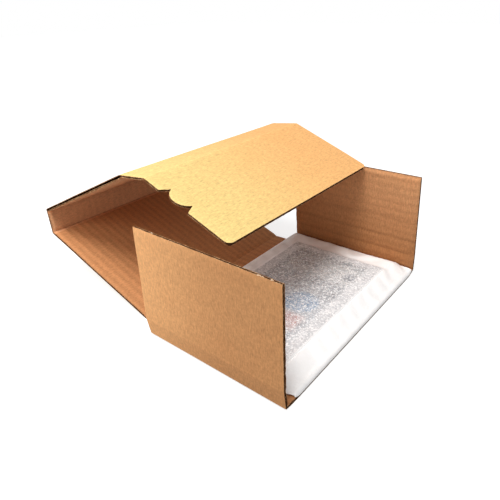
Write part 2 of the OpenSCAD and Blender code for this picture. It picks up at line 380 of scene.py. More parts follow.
# %% [markdown]
# ## The sheets of board
#
# Each panel of the mailer is flat, so we describe it by its fold line, the direction
# away from the fold, the direction along the fold, and its inner side. A point of the
# sheet is then three numbers: how far from the fold, how far along it, and how far from
# the board's middle plane. The fold points are those of the joints, so the sheets lie
# where the solids do.

# %% Set the board's sizes
THICK = 0.003
HALF = THICK / 2
LINER = 0.00042
REACH = 0.0034  # how far the liner that goes round a fold reaches onto each panel
SINK_IN, SINK_OUT = 0.00016, 0.00004  # how far the inner and outer liners sink between the flutes
GROOVE_IN, GROOVE_OUT, GROOVE_WIDTH = 0.00045, 0.00006, 0.0021  # the same at a fold
CRUSH_IN, CRUSH_OUT = 0.00100, 0.00034  # the same at a cut
CRUSH_BY_END, CRUSH_BY_SIDE, SIDE_SHARE = 0.0016, 0.0012, 0.42  # the crushed band's width and share
SCORE_DEPTH, SCORE_WIDTH = 0.00030, 0.0016
# The mask's widths and strengths: wear on the outer liners, painted crease shade on the inner ones.
WEAR_AND_SHADE_WIDTH, FOLD_WEAR_AND_SHADE, SCORE_WEAR_AND_SHADE = 0.0010, 1.5, 0.6
fold_at = {j["name"]: Vector(j["pos_m"]) for j in frame["joints"]}
BASE_X, FOLD_Y = -fold_at["rear_wall_fold"].x, fold_at["far_wall_fold"].y
NEAR_CURL, FAR_CURL = (fold_at[s + "_wall_fold"].z - HALF for s in ("near", "far"))
CURL_WIDTH = 0.012
print("the base is", round(BASE_X * 2000, 1), "by", round(FOLD_Y * 2000, 1), "mm between its folds")


# %% [markdown]
# A real sheet isn't smooth. The liner sinks a little between the flutes, more at a fold,
# and most at a cut, where the die has pressed the board. Each panel can tell how far its
# liner sinks at any place, and how strong the mask of wear outside and painted crease
# shade inside is there.

# %% Give a panel its surfaces
def bell(distance, width):
    """1 at a line, falling smoothly to 0 about two widths from it."""
    return np.exp(-((distance / width) ** 2))


class Panel:
    """A flat panel. along points away from its fold, across runs along it, inner is its inner side."""

    flutes_close, flutes_drop = 0.85, 0.00033  # what a cut does to the medium

    def __init__(self, node, start, along, across, inner, length, low, high, end_fold, outside, inside):
        self.node, self.start, self.along, self.across, self.inner = node, start, along, across, inner
        self.length, self.low, self.high, self.end_fold = length, low, high, end_fold
        self.outside, self.inside = outside, inside
        self.scores = []
        self.flutes_cross_fold = abs(across.y) > 0.5
        self.washboard = 1.0
        self.crush = 1.0

    def trim(self, u, v):
        """Moves points of the plain rectangle to the panel's real outline."""
        return u, v

    def pressed(self, u, v):
        """How far the die has pressed the cuts: more where a cut crosses the flutes."""
        sides = np.minimum(v - self.low, self.high - v)
        end = np.full_like(u, 1.0) if self.end_fold else self.length - u
        along, across = (sides, end) if self.flutes_cross_fold else (end, sides)
        closed = bell(np.maximum(along, 0), CRUSH_BY_END) * self.crush
        return np.maximum(closed, SIDE_SHARE * bell(np.maximum(across, 0), CRUSH_BY_SIDE))

    def skin(self, u, v, side):
        """Height of the liner's face: washboard, crushed folds, score lines and pressed cuts."""
        a = v if self.flutes_cross_fold else u
        wave = np.sin(2 * math.pi * a / PITCH)
        fold = bell(u, GROOVE_WIDTH)
        if self.end_fold:
            fold = fold + bell(self.length - u, GROOVE_WIDTH)
        cut = self.pressed(u, v)
        drift = 0.00006 * np.sin(v * 61 + u * 23 + self.length * 400) + 0.00004 * np.sin(u * 97 - v * 31)
        if side > 0:
            sink = SINK_IN * self.washboard * (1 - wave) / 2 + GROOVE_IN * fold + CRUSH_IN * cut
            for s in self.scores:
                line = s + 0.0005 * np.sin(v * 70 + s * 900) + 0.0002 * np.sin(v * 240)
                sink = sink + SCORE_DEPTH * bell(u - line, SCORE_WIDTH)
        else:
            sink = SINK_OUT * (1 + wave) / 2 + GROOVE_OUT * fold + CRUSH_OUT * cut
        return side * (HALF - np.maximum(sink + drift * side, 0))

    def squeeze(self, u, v, w):
        """Presses the medium where the liners close up."""
        cut = self.pressed(u, v)
        return w * (1 - self.flutes_close * cut) - self.flutes_drop * cut

    def wear_and_shade(self, u, v):
        """1 at the cuts, folds and score lines, fading away from them."""
        edge = np.minimum(v - self.low, self.high - v)
        edge = np.minimum(edge, (self.length - u) * (FOLD_WEAR_AND_SHADE if self.end_fold else 1))
        edge = np.minimum(edge, u * FOLD_WEAR_AND_SHADE)
        scored = sum((bell(u - s, SCORE_WIDTH) for s in self.scores), np.zeros_like(u))
        return np.clip(np.exp(-edge / WEAR_AND_SHADE_WIDTH) + SCORE_WEAR_AND_SHADE * scored, 0, 1)

    def point(self, u, v, w):
        """Points of the sheet, as an array of x, y and z."""
        s, a, c, n = (np.array(x, float) for x in (self.start, self.along, self.across, self.inner))
        return s + u[..., None] * a + v[..., None] * c + w[..., None] * n


# %% Carry the cover from fold to fold
COVER = ["rear_wall", "top_panel", "front_wall", "under_panel", "outer_rear_wall", "closing_flap"]
CLOSING_TURN, CLOSING_LENGTH = math.radians(200.8), 0.0706
cover_low, cover_high = (corner.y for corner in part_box("top_panel"))
panels = {}
for i, name in enumerate(COVER):
    start = fold_at[name + "_fold"]
    if i < len(COVER) - 1:
        reach = fold_at[COVER[i + 1] + "_fold"] - start
        length, along = reach.length, reach.normalized()
    else:
        length, along = CLOSING_LENGTH, Vector((-math.cos(CLOSING_TURN), 0, math.sin(CLOSING_TURN)))
    inner = Vector((along.z, 0, -along.x))
    panels[name] = Panel(
        name, start, along, Vector((0, 1, 0)), inner, length, cover_low, cover_high,
        i < len(COVER) - 1, kraft_top, kraft_in_long,
    )
print("cover panels:", {name: round(p.length * 1000, 1) for name, p in panels.items()})

# %% Stand the side walls and flaps up
FLAP_LENGTH, FAR_LEAN = 0.0696, math.radians(6.8)
for side, sign in (("near", 1), ("far", -1)):
    foot, crease = fold_at[side + "_wall_fold"], fold_at[side + "_flap_fold"]
    rise = crease - foot
    wall_up = rise.normalized()
    lean = 0 if side == "near" else FAR_LEAN
    flap_up = Vector((0, -math.sin(lean), math.cos(lean)))
    for node, start, along, length, end_fold in (
        (side + "_side_wall", foot, wall_up, rise.length, True),
        (side + "_inner_flap", crease, flap_up, FLAP_LENGTH, False),
    ):
        inner = Vector((0, sign * along.z, -sign * along.y))
        panels[node] = Panel(
            node, start, along, Vector((1, 0, 0)), inner, length, -BASE_X, BASE_X,
            end_fold, kraft_side, kraft_in_side,
        )
print("panels:", len(panels))

# %% [markdown]
# The panels aren't all alike. The inner flaps are scored along two lines. The cover's
# narrow third panel and the one after it have a lighter copy of the inner paper, as
# painted light under the cover, with deeper painted shade in its creases, and the flutes
# show less on the third. How far the die has closed the cuts differs too.

# %% Tell the panels apart
for side in ("near", "far"):
    panels[side + "_inner_flap"].scores = [0.0125, 0.029]
for name in ("front_wall", "under_panel"):
    panels[name].inside = kraft_in_wall
panels["front_wall"].washboard = 0.3
for name, crush in (("near_inner_flap", 0.8), ("under_panel", 0.1), ("top_panel", 0.5)):
    panels[name].crush = crush
print("panels with score lines:", sum(len(p.scores) > 0 for p in panels.values()))

# %% [markdown]
# ### Outlines
#
# Two kinds of panel aren't plain rectangles. The inner flaps slope in a little along
# their rear and front edges, and the closing flap has two notches with a round finger
# tab between them, and rounded corners. We keep a regular grid and only push its outer
# rows to the real outline, so the washboard stays straight and the mesh stays clean.

# %% Give the flaps their outlines
TAB_FROM, TAB_LENGTH, TAB_DEPTH, NOTCH_RUN = 0.0132, 0.0252, 0.0071, 0.0034
TAB_SET = 0.0004  # the tab's crown stays this far inside the edge
TIP_R = 0.004
TAPER = 0.0015
SOFT_ROWS = 0.0125  # the band of rows that is pushed


def tab_depth(u):
    """Depth of the cut at a distance u from the closing flap's fold."""
    x = u - TAB_FROM
    rise, half = TAB_DEPTH - TAB_SET, TAB_LENGTH / 2 - NOTCH_RUN
    radius = (half**2 + rise**2) / (2 * rise)
    crown = TAB_SET + radius - np.sqrt(np.maximum(radius**2 - (x - TAB_LENGTH / 2) ** 2, 0))
    slope = np.minimum(x, TAB_LENGTH - x) / NOTCH_RUN * TAB_DEPTH
    inside = (x > 0) & (x < TAB_LENGTH)
    in_tab = np.abs(x - TAB_LENGTH / 2) < half
    depth = np.where(in_tab, np.minimum(crown, TAB_DEPTH), np.clip(slope, 0, TAB_DEPTH))
    return np.where(inside, depth, 0.0)


def trim_closing(u, v):
    panel = panels["closing_flap"]
    d = tab_depth(u)
    from_edge = v - panel.low
    v = np.where(from_edge < SOFT_ROWS, panel.low + d + from_edge * (SOFT_ROWS - d) / SOFT_ROWS, v)
    corner = np.maximum(TIP_R - np.minimum(v - panel.low, panel.high - v), 0)
    short = TIP_R - np.sqrt(np.maximum(TIP_R**2 - corner**2, 0))
    from_tip = panel.length - u
    drawn_in = panel.length - short - from_tip * (SOFT_ROWS - short) / SOFT_ROWS
    return np.where(from_tip < SOFT_ROWS, drawn_in, u), v


def trim_flap(u, v):
    slope = TAPER * u / FLAP_LENGTH
    from_edge = BASE_X - np.abs(v)
    drawn_in = v - np.sign(v) * slope * (1 - from_edge / SOFT_ROWS)
    return u, np.where(from_edge < SOFT_ROWS, drawn_in, v)


panels["closing_flap"].trim = trim_closing
for side in ("near", "far"):
    panels[side + "_inner_flap"].trim = trim_flap
tab_crown = np.array(TAB_FROM + TAB_LENGTH / 2)
print("cut at the tab's crown:", round(float(tab_depth(tab_crown)) * 1000, 2), "mm deep")

# %% [markdown]
# ### The base
#
# The base is the one panel that isn't flat: the board is stiff, so it curls up a little
# before each side fold, and more so at the far one. It gets the same kind of
# description, with the curl added to the height. Three folds start from it, and the one
# at the rear is shorter than its edge, so the rows there are pushed in between its ends.

# %% Describe the base
def curl_height(y):
    """Height that the base has risen by at y."""
    height = np.where(y < 0, NEAR_CURL, FAR_CURL)
    return height * (np.maximum(np.abs(y) - FOLD_Y + CURL_WIDTH, 0) / CURL_WIDTH) ** 2


NEAR_SLOPE, FAR_SLOPE = (math.atan(2 * c / CURL_WIDTH) for c in (NEAR_CURL, FAR_CURL))
BASE_NEAR, BASE_FAR = -FOLD_Y + REACH * math.cos(NEAR_SLOPE), FOLD_Y - REACH * math.cos(FAR_SLOPE)
STEP_AT_COVER = 0.0001  # the outline steps in within this width at both ends of the cover's fold


class Base(Panel):
    """The base: u runs along Y and v along X."""

    flutes_close, flutes_drop = 0.5, 0.0004

    def __init__(self):
        super().__init__(
            "base_panel", Vector((0, 0, HALF)), Vector((0, 1, 0)), Vector((1, 0, 0)), Vector((0, 0, 1)),
            FOLD_Y, -BASE_X, BASE_X, True, kraft_top, kraft_in_long,
        )

    def skin(self, u, v, side):
        wave = np.sin(2 * math.pi * u / PITCH)
        fold = bell(FOLD_Y - np.abs(u), GROOVE_WIDTH)
        inside = (u > cover_low) & (u < cover_high)
        fold = fold + np.where(inside, bell(v + BASE_X, GROOVE_WIDTH), 0)
        cut = self.pressed(u, v)
        if side > 0:
            sink = SINK_IN * (1 - wave) / 2 + GROOVE_IN * fold + CRUSH_IN * cut
        else:
            sink = SINK_OUT * (1 + wave) / 2 + GROOVE_OUT * fold
        return side * (HALF - sink)

    def pressed(self, u, v):
        return SIDE_SHARE * bell(np.maximum(BASE_X - v, 0), CRUSH_BY_SIDE)

    def wear_and_shade(self, u, v):
        edge = np.minimum(BASE_X - np.abs(v), (FOLD_Y - np.abs(u)) * FOLD_WEAR_AND_SHADE)
        return np.exp(-np.maximum(edge, 0) / WEAR_AND_SHADE_WIDTH)

    def trim(self, u, v):
        inside = (u > cover_low - STEP_AT_COVER / 2) & (u < cover_high + STEP_AT_COVER / 2)
        from_rear = v + BASE_X
        pushed = v + REACH * (1 - from_rear / SOFT_ROWS)
        return u, np.where(inside & (from_rear < SOFT_ROWS), pushed, v)

    def point(self, u, v, w):
        return np.stack([v, u, HALF + curl_height(u) + w], -1)


base = Base()
slopes = [round(math.degrees(slope), 1) for slope in (NEAR_SLOPE, FAR_SLOPE)]
print("slopes at the ends of the base:", slopes, "degrees")

# %% [markdown]
# ## Meshes of the liners
#
# A liner is a slab: a fine grid for its face, the same grid one liner's thickness below,
# and a rim between them. Building it from arrays is quick and gives us full control over
# where the points go. The face takes the kraft, the rim the raw edge, and the hidden side,
# which only shows down the flutes, the medium's paper, darkened as painted shade.

# %% Make slabs from grids
LINER_SHARP, MEDIUM_SHARP = 38, 50  # degrees, over which an edge stays sharp


def shown(name, mesh):
    """Puts a finished mesh in the scene, at the origin."""
    piece = bpy.data.objects.new(name, mesh)
    scene.collection.objects.link(piece)
    return piece


def smoothed(mesh, sharp):
    """Turns the faces outwards and shades them smooth, but for edges over an angle in degrees."""
    shape = bmesh.new()
    shape.from_mesh(mesh)
    bmesh.ops.recalc_face_normals(shape, faces=shape.faces)
    shape.to_mesh(mesh)
    shape.free()
    mesh.polygons.foreach_set("use_smooth", [True] * len(mesh.polygons))
    mesh.set_sharp_from_angle(angle=math.radians(sharp))


def new_piece(name, verts, faces, materials, which=None, wear_and_shade=None):
    mesh = bpy.data.meshes.new(name)
    mesh.from_pydata(np.asarray(verts, float).tolist(), [], faces)
    for material in materials:
        mesh.materials.append(material)
    if which is not None:
        mesh.polygons.foreach_set("material_index", np.asarray(which, np.int32))
    if wear_and_shade is not None:
        painted = mesh.attributes.new("wear_and_shade", "FLOAT", "POINT")
        painted.data.foreach_set("value", np.asarray(wear_and_shade, np.float32))
    smoothed(mesh, LINER_SHARP)
    return shown(name, mesh)


def slab(face, under, offset=0):
    """A closed slab from two grids of points. Its faces are marked 0, its hidden side 1, its rim 2."""
    nu, nv = face.shape[:2]
    index = np.arange(nu * nv).reshape(nu, nv) + offset
    below = index + nu * nv
    quads = np.stack([index[:-1, :-1], index[1:, :-1], index[1:, 1:], index[:-1, 1:]], -1).reshape(-1, 4)
    downs = np.stack([below[:-1, :-1], below[:-1, 1:], below[1:, 1:], below[1:, :-1]], -1).reshape(-1, 4)
    ring = np.concatenate([index[0, :], index[1:, -1], index[-1, -2::-1], index[-2:0:-1, 0]])
    low = ring + nu * nv
    rims = np.stack([ring, np.roll(ring, -1), np.roll(low, -1), low], -1)
    verts = np.concatenate([face.reshape(-1, 3), under.reshape(-1, 3)])
    faces = np.concatenate([quads, downs, rims])
    which = np.repeat([0, 1, 2], [len(quads), len(downs), len(rims)])
    return verts, faces, which


corners = np.array([[(0, 0, 0), (0, 1, 0)], [(1, 0, 0), (1, 1, 0)]])
print("the smallest slab has", len(slab(corners, corners - (0, 0, 1))[1]), "faces")

# %% [markdown]
# The two liners of a panel are one piece: they never move apart. The grid is fine across
# the flutes, eight points to a wave, and coarse along them. Next to a cut its rows lie
# closer, because the die has pressed the board flat there.

# %% Choose the rows of the grids
FINE, COARSE = PITCH / 8, 0.0035
BY_CUT = np.array([0.0004, 0.0009, 0.0015, 0.0023])
TAB_STEP, TIP_STEP, TIP_BAND, ROW_GAP = 0.0004, 0.0005, 0.005, 0.001


def spread(low, high, step):
    return np.linspace(low, high, max(2, int(round((high - low) / step)) + 1))


def merged(*rows):
    """Several rows of places as one, sorted and without doubles."""
    return np.unique(np.round(np.concatenate(rows), 6))


def with_cuts(rows):
    """Adds close rows next to both ends, where the die has pressed the sheet."""
    return merged(rows, rows[0] + BY_CUT, rows[-1] - BY_CUT)


def grid_of(panel):
    u0, u1 = REACH, panel.length - (REACH if panel.end_fold else 0)
    if panel.flutes_cross_fold:
        us, vs = spread(u0, u1, COARSE), with_cuts(spread(panel.low, panel.high, FINE))
        if panel.node == "closing_flap":
            tab = spread(TAB_FROM - TAB_STEP, TAB_FROM + TAB_LENGTH + TAB_STEP, TAB_STEP)
            notches = TAB_FROM + np.array([0, NOTCH_RUN, TAB_LENGTH - NOTCH_RUN, TAB_LENGTH])
            before, after = us[us < tab[0] - ROW_GAP], us[(us > tab[-1] + ROW_GAP) & (us < u1 - TIP_BAND)]
            us = merged(before, tab, notches, after, spread(u1 - TIP_BAND, u1, TIP_STEP))
    else:
        us, vs = spread(u0, u1, FINE), with_cuts(spread(panel.low, panel.high, COARSE))
    return np.meshgrid(us, vs, indexing="ij")


def grid_of_base():
    cover_ends = [cover_low, cover_low - STEP_AT_COVER, cover_high, cover_high + STEP_AT_COVER]
    us = merged(spread(BASE_NEAR, BASE_FAR, FINE), cover_ends)
    return np.meshgrid(us, with_cuts(spread(-BASE_X, BASE_X, COARSE)), indexing="ij")


print("the base's grid:", grid_of_base()[0].shape, "points")


# %% Lay the liners of every panel
def liners(panel, u, v):
    parts, offset = [], 0
    tu, tv = panel.trim(u, v)
    for side in (-1, 1):
        face = panel.point(tu, tv, panel.skin(u, v, side))
        under = panel.point(tu, tv, panel.skin(u, v, side) - side * LINER)
        verts, faces, which = slab(face, under, offset)
        offset += len(verts)
        paper = np.where(which == 0, 0 if side < 0 else 1, which + 1)
        parts.append((verts, faces, paper, np.tile(panel.wear_and_shade(u, v).ravel(), 2)))
    verts, faces, paper, wear_and_shade = (np.concatenate(column) for column in zip(*parts))
    papers = [panel.outside, panel.inside, medium.material, raw.material]
    return new_piece(panel.node + "_liners", verts, faces.tolist(), papers, paper, wear_and_shade)


made = {}
for name, panel in panels.items():
    made[name] = liners(panel, *grid_of(panel))
made["base_panel"] = liners(base, *grid_of_base())
for name, piece in made.items():
    body = "base" if name == "base_panel" else name
    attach(piece, body)
    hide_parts(name)
print("liners:", len(made), "pieces,", sum(len(p.data.polygons) for p in made.values()), "faces")

# %% [markdown]
# ## The fluted medium
#
# A wave that repeats across a sheet is a job for Geometry Nodes. The tree takes a flat
# grid and lifts each point by a sine of its place, plus a little noise, because real
# flutes lean and sag. Its sizes are named inputs, so one tree serves every panel. A
# Solidify modifier gives the sheet its thickness. Then the result is made a plain mesh,
# and the same description that placed the liners wraps it onto its panel.

# %% Set up a small language for trees
MEDIUM = 0.00030
FREE = 0.0001  # between a wave's crest and the liner
RISE = HALF - LINER - MEDIUM / 2 - FREE
LEAN = 0.9  # how far a flute may lean, in radians of its wave
print("the flutes rise", round(RISE * 1000, 2), "mm to each side")


def add_node(tree, kind, settings=None, inputs=None):
    """A node of a Geometry Nodes tree, with its settings, then the values or links of its sockets."""
    node = tree.nodes.new(kind)
    for key, value in (settings or {}).items():
        setattr(node, key, value)
    for key, value in (inputs or {}).items():
        if isinstance(value, bpy.types.NodeSocket):
            tree.links.new(value, node.inputs[key])
        else:
            node.inputs[key].default_value = value
    return node


def maths(tree, operation, *values):
    """The result of a Math node on values or sockets."""
    return add_node(tree, "ShaderNodeMath", {"operation": operation}, dict(enumerate(values))).outputs[0]


def tree_with(name, inputs):
    """A tree with named inputs and one mesh as its result."""
    tree = bpy.data.node_groups.new(name, "GeometryNodeTree")
    for label, kind, value in inputs:
        socket = tree.interface.new_socket(label, in_out="INPUT", socket_type=kind)
        if value is not None:
            socket.default_value = value
    tree.interface.new_socket("Geometry", in_out="OUTPUT", socket_type="NodeSocketGeometry")
    return tree, tree.nodes.new("NodeGroupInput"), tree.nodes.new("NodeGroupOutput")


def end_tree(tree, geometry, paper, result):
    """Every tree ends in the same way: real meshes, then their material."""
    whole = add_node(tree, "GeometryNodeRealizeInstances", inputs={0: geometry})
    papered = add_node(tree, "GeometryNodeSetMaterial", inputs={
        "Geometry": whole.outputs[0], "Material": paper,
    })
    tree.links.new(papered.outputs[0], result.inputs[0])
    print(tree.name, "has", len(tree.nodes), "nodes")


# %% Lift a grid into flutes
fluting, given, result = tree_with("fluted_sheet", [
    ("Geometry", "NodeSocketGeometry", None),
    ("Along flutes", "NodeSocketFloat", 0.1),
    ("Across flutes", "NodeSocketFloat", 0.1),
    ("Pitch", "NodeSocketFloat", PITCH),
    ("Rise", "NodeSocketFloat", RISE),
    ("Phase", "NodeSocketFloat", 0.0),
    ("Columns", "NodeSocketInt", 12),
    ("Rows", "NodeSocketInt", 100),
    ("Seed", "NodeSocketFloat", 3.0),
    ("Paper", "NodeSocketMaterial", None),
])
grid = add_node(fluting, "GeometryNodeMeshGrid", inputs={
    "Size X": given.outputs["Along flutes"], "Size Y": given.outputs["Across flutes"],
    "Vertices X": given.outputs["Columns"], "Vertices Y": given.outputs["Rows"],
})
where = add_node(fluting, "GeometryNodeInputPosition")
parts = add_node(fluting, "ShaderNodeSeparateXYZ", inputs={0: where.outputs[0]})
turns = maths(fluting, "DIVIDE", parts.outputs[1], given.outputs["Pitch"])
angle = maths(fluting, "MULTIPLY", turns, 2 * math.pi)
phased = maths(fluting, "ADD", angle, given.outputs["Phase"])
lean = add_node(fluting, "ShaderNodeTexNoise", {"noise_dimensions": "4D"}, {
    "Vector": where.outputs[0], "W": given.outputs["Seed"], "Scale": 90.0, "Detail": 1.0,
})
wave = maths(fluting, "SINE", maths(fluting, "MULTIPLY_ADD", lean.outputs[0], LEAN, phased))
height = maths(fluting, "MULTIPLY", wave, given.outputs["Rise"])
lift = add_node(fluting, "ShaderNodeCombineXYZ", inputs={2: height})
waved = add_node(fluting, "GeometryNodeSetPosition", inputs={
    "Geometry": grid.outputs[0], "Offset": lift.outputs[0],
})
end_tree(fluting, waved.outputs[0], given.outputs["Paper"], result)


# %% Turn a tree's result into a plain mesh
def grown(name, tree, values, solid=None):
    """Runs a tree on an empty mesh and returns the result as a plain mesh."""
    seedling = bpy.data.objects.new(name, bpy.data.meshes.new(name))
    scene.collection.objects.link(seedling)
    modifier = seedling.modifiers.new("grow", "NODES")
    modifier.node_group = tree
    sockets = {s.name: s.identifier for s in tree.interface.items_tree if s.in_out == "INPUT"}
    for label, value in values.items():
        modifier[sockets[label]] = value
    if solid:
        wall = seedling.modifiers.new("wall", "SOLIDIFY")
        wall.thickness, wall.offset, wall.use_even_offset = solid, 0, True
    graph = bpy.context.evaluated_depsgraph_get()
    mesh = bpy.data.meshes.new_from_object(seedling.evaluated_get(graph))
    bpy.data.objects.remove(seedling)
    return mesh


def points_of(mesh):
    flat = np.zeros(len(mesh.vertices) * 3)
    mesh.vertices.foreach_get("co", flat)
    return flat.reshape(-1, 3)


sample = grown("sample", fluting, {"Along flutes": 0.02, "Across flutes": 4 * PITCH})
print("a sample of four flutes stands", round(np.ptp(points_of(sample)[:, 2]) * 1000, 2), "mm high")
bpy.data.meshes.remove(sample)

# %% Wrap a fluted sheet onto every panel
COLUMNS, TAB_COLUMNS, WAVE_ROWS = 22, 130, 10  # points along the flutes, and across each wave
SHY = 0.0002  # how far the medium ends inside the cuts


def flute(panel, u0, u1, seed):
    middle_u, middle_v = (u0 + u1) / 2, (panel.low + panel.high) / 2
    crossing = panel.flutes_cross_fold
    size_u, size_v = u1 - u0, panel.high - panel.low - 2 * SHY
    along, across = (size_u, size_v) if crossing else (size_v, size_u)
    middle = middle_v if crossing else middle_u
    columns = TAB_COLUMNS if panel.node == "closing_flap" else COLUMNS
    rows = int(across / PITCH * WAVE_ROWS)
    mesh = grown(panel.node + "_fluting", fluting, {
        "Along flutes": along, "Across flutes": across,
        "Phase": 2 * math.pi * middle / PITCH, "Columns": columns, "Rows": rows,
        "Seed": float(seed), "Paper": medium.material,
    }, MEDIUM)
    p = points_of(mesh)
    u, v = (p[:, 0], p[:, 1]) if crossing else (p[:, 1], p[:, 0])
    u, v = u + middle_u, v + middle_v
    w = panel.squeeze(u, v, p[:, 2])
    mesh.vertices.foreach_set("co", panel.point(*panel.trim(u, v), w).ravel())
    smoothed(mesh, MEDIUM_SHARP)
    mesh.materials.clear()  # the tree's grid comes with an empty slot
    mesh.materials.append(medium.material)
    mesh.materials.append(raw.material)
    rims = 2 * (columns + rows) - 4  # Solidify adds the rim's faces last
    is_rim = np.arange(len(mesh.polygons)) >= len(mesh.polygons) - rims
    mesh.polygons.foreach_set("material_index", is_rim.astype(np.int32))
    piece = shown(panel.node + "_fluting", mesh)
    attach(piece, "base" if panel is base else panel.node)
    return piece


flutings = [
    flute(p, REACH, p.length - (REACH if p.end_fold else SHY), seed)
    for seed, p in enumerate(panels.values())
]
BASE_SEED = 20
flutings.append(flute(base, BASE_NEAR, BASE_FAR, BASE_SEED))
print("fluted sheets:", len(flutings), "faces:", sum(len(f.data.polygons) for f in flutings))

# %% [markdown]
# ## Folds
#
# At a fold the board is crushed along a line, the outer liner stretches round it and
# the inner liner closes into a groove. We carry a strip of each liner across the fold:
# it starts on one panel, goes round the fold's axis, and ends on the next.

# %% Describe the sheets next to a fold
class Arm:
    """The last few millimetres of a panel before a fold. s is the distance from the fold."""

    def __init__(self, panel, at_end):
        self.panel, self.at_end = panel, at_end
        self.low, self.high = panel.low, panel.high
        sign = -1 if at_end else 1
        self.origin = panel.start + (panel.along * panel.length if at_end else Vector())
        self.away = panel.along * sign

    def middle(self, s):
        return self.origin + self.away * s, self.panel.inner

    def skin(self, s, v, side):
        u = self.panel.length - s if self.at_end else s
        return self.panel.skin(np.full_like(v, u), v, side)

    @property
    def across(self):
        return self.panel.across


class BaseSideArm(Arm):
    """The curled end of the base before a side fold."""

    def __init__(self, sign):
        self.panel, self.sign, self.low, self.high = base, sign, -BASE_X, BASE_X
        self.slope = NEAR_SLOPE if sign < 0 else FAR_SLOPE
        self.origin = fold_at["near_wall_fold" if sign < 0 else "far_wall_fold"]
        self.away = Vector((0, -sign * math.cos(self.slope), -math.sin(self.slope)))

    def middle(self, s):
        y = self.sign * (FOLD_Y - s * math.cos(self.slope))
        tilt = self.slope * (1 - s / REACH)
        normal = Vector((0, -self.sign * math.sin(tilt), math.cos(tilt)))
        return Vector((0, y, HALF + float(curl_height(y)))), normal

    def skin(self, s, v, side):
        y = self.sign * (FOLD_Y - s * math.cos(self.slope))
        return base.skin(np.full_like(v, y), v, side)


class BaseRearArm(Arm):
    """The base's rear edge before the cover's first fold."""

    def __init__(self):
        self.panel, self.low, self.high = base, cover_low, cover_high
        self.origin, self.away = fold_at["rear_wall_fold"], Vector((1, 0, 0))

    def middle(self, s):
        return self.origin + self.away * s, Vector((0, 0, 1))

    def skin(self, s, v, side):
        return base.skin(v, np.full_like(v, -BASE_X + s), side)

    @property
    def across(self):
        return Vector((0, 1, 0))


rear_arm = BaseRearArm()
print("the rear fold is", round((rear_arm.high - rear_arm.low) * 1000, 1), "mm long")

# %% [markdown]
# Outside, a strip goes round the fold's axis in small turns. Inside, the two liners press
# against each other, so the strip only runs up to the crease, turns through a short curve
# and runs away again.

# %% Make a strip of liner
OUTER_ROWS, INNER_ROWS, CURVE_ROWS = 6, 4, 8
TURN_STEP = 8  # degrees between two rows round a fold
FLAT_TURN = 0.02  # radians, under which a fold counts as flat
CREASE_GAP = 0.0004
# The middle of each strip gets the mask: wear on the outer strip, painted crease shade on the inner one.
WEAR_AND_SHADE_SHARE = 0.16  # of the strip's rows


def fold_strip(name, first, second, side, finish):
    """A strip of liner between two arms, on the outer side (-1) or the inner side (1)."""
    fine = abs(first.across.y) > 0.5
    v = with_cuts(spread(second.low, second.high, FINE if fine else COARSE))
    n1, n2 = first.middle(0)[1], second.middle(0)[1]
    turn = n1.angle(n2, 0.0)
    halfway = (n1 + n2).normalized()
    centre = np.array(first.origin)
    level = (first.skin(0, v, side) + second.skin(0, v, side)) / 2
    across = np.array(first.across)

    def row(arm, s, w):
        at, normal = arm.middle(s)
        blend = (1 - s / REACH) ** 2
        height = arm.skin(s, v, side) * (1 - blend) + level * blend + w
        return np.array(at) + v[:, None] * across + height[:, None] * np.array(normal)

    def outer_rows(w):
        rows = [row(first, s, w) for s in np.linspace(REACH, 0, OUTER_ROWS)]
        away = np.linspace(0, REACH, OUTER_ROWS)
        if turn < FLAT_TURN:
            return rows + [row(second, s, w) for s in away[1:]]
        steps = max(2, int(math.degrees(turn) / TURN_STEP))
        for k in range(1, steps):
            normal = np.array(n1.slerp(n2, k / steps))
            rows.append(centre + v[:, None] * across + (level + w)[:, None] * normal)
        return rows + [row(second, s, w) for s in away]

    def inner_rows(w):
        start = float(np.mean(level)) * math.tan(turn / 2) + CREASE_GAP
        lead = [row(first, s, w) for s in np.linspace(REACH, start, INNER_ROWS)]
        tail = [row(second, s, w) for s in np.linspace(start, REACH, INNER_ROWS)]
        lifted = ((level + w) / math.cos(turn / 2))[:, None] * np.array(halfway)
        control = centre + v[:, None] * across + lifted
        curve = [
            (1 - t) ** 2 * lead[-1] + 2 * t * (1 - t) * control + t**2 * tail[0]
            for t in np.linspace(0, 1, CURVE_ROWS)[1:-1]
        ]
        return lead + curve + tail

    surface = outer_rows if side < 0 else inner_rows
    face, under = np.stack(surface(0.0)), np.stack(surface(-side * LINER))
    verts, faces, which = slab(face, under)
    middle = (len(face) - 1) / 2
    wear_and_shade = np.repeat(bell(np.arange(len(face)) - middle, len(face) * WEAR_AND_SHADE_SHARE), len(v))
    papers = [finish, medium.material, raw.material]
    strip = new_piece(name, verts, faces.tolist(), papers, which, np.tile(wear_and_shade, 2))
    here = -HALF + LINER if side < 0 else HALF
    ends = [arm.middle(REACH)[0] + arm.middle(REACH)[1] * here for arm in (first, second)]
    return strip, ends


# %% Carry the liners round the folds
folds = [("rear_wall_fold", "base", "rear_wall", rear_arm, Arm(panels["rear_wall"], False))]
for before, after in zip(COVER, COVER[1:]):
    folds.append((after + "_fold", before, after, Arm(panels[before], True), Arm(panels[after], False)))
for side, sign in (("near", -1), ("far", 1)):
    wall, flap = side + "_side_wall", side + "_inner_flap"
    folds.append((side + "_wall_fold", "base", wall, BaseSideArm(sign), Arm(panels[wall], False)))
    folds.append((side + "_flap_fold", wall, flap, Arm(panels[wall], True), Arm(panels[flap], False)))

strips = []
for name, parent, child, first, second in folds:
    for side, label in ((-1, "outer"), (1, "inner")):
        finish = second.panel.outside if side < 0 else second.panel.inside
        strip, ends = fold_strip(f"{name}_{label}", first, second, side, finish)
        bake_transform(strip)
        strips.append(strip)
print("fold strips:", len(strips))

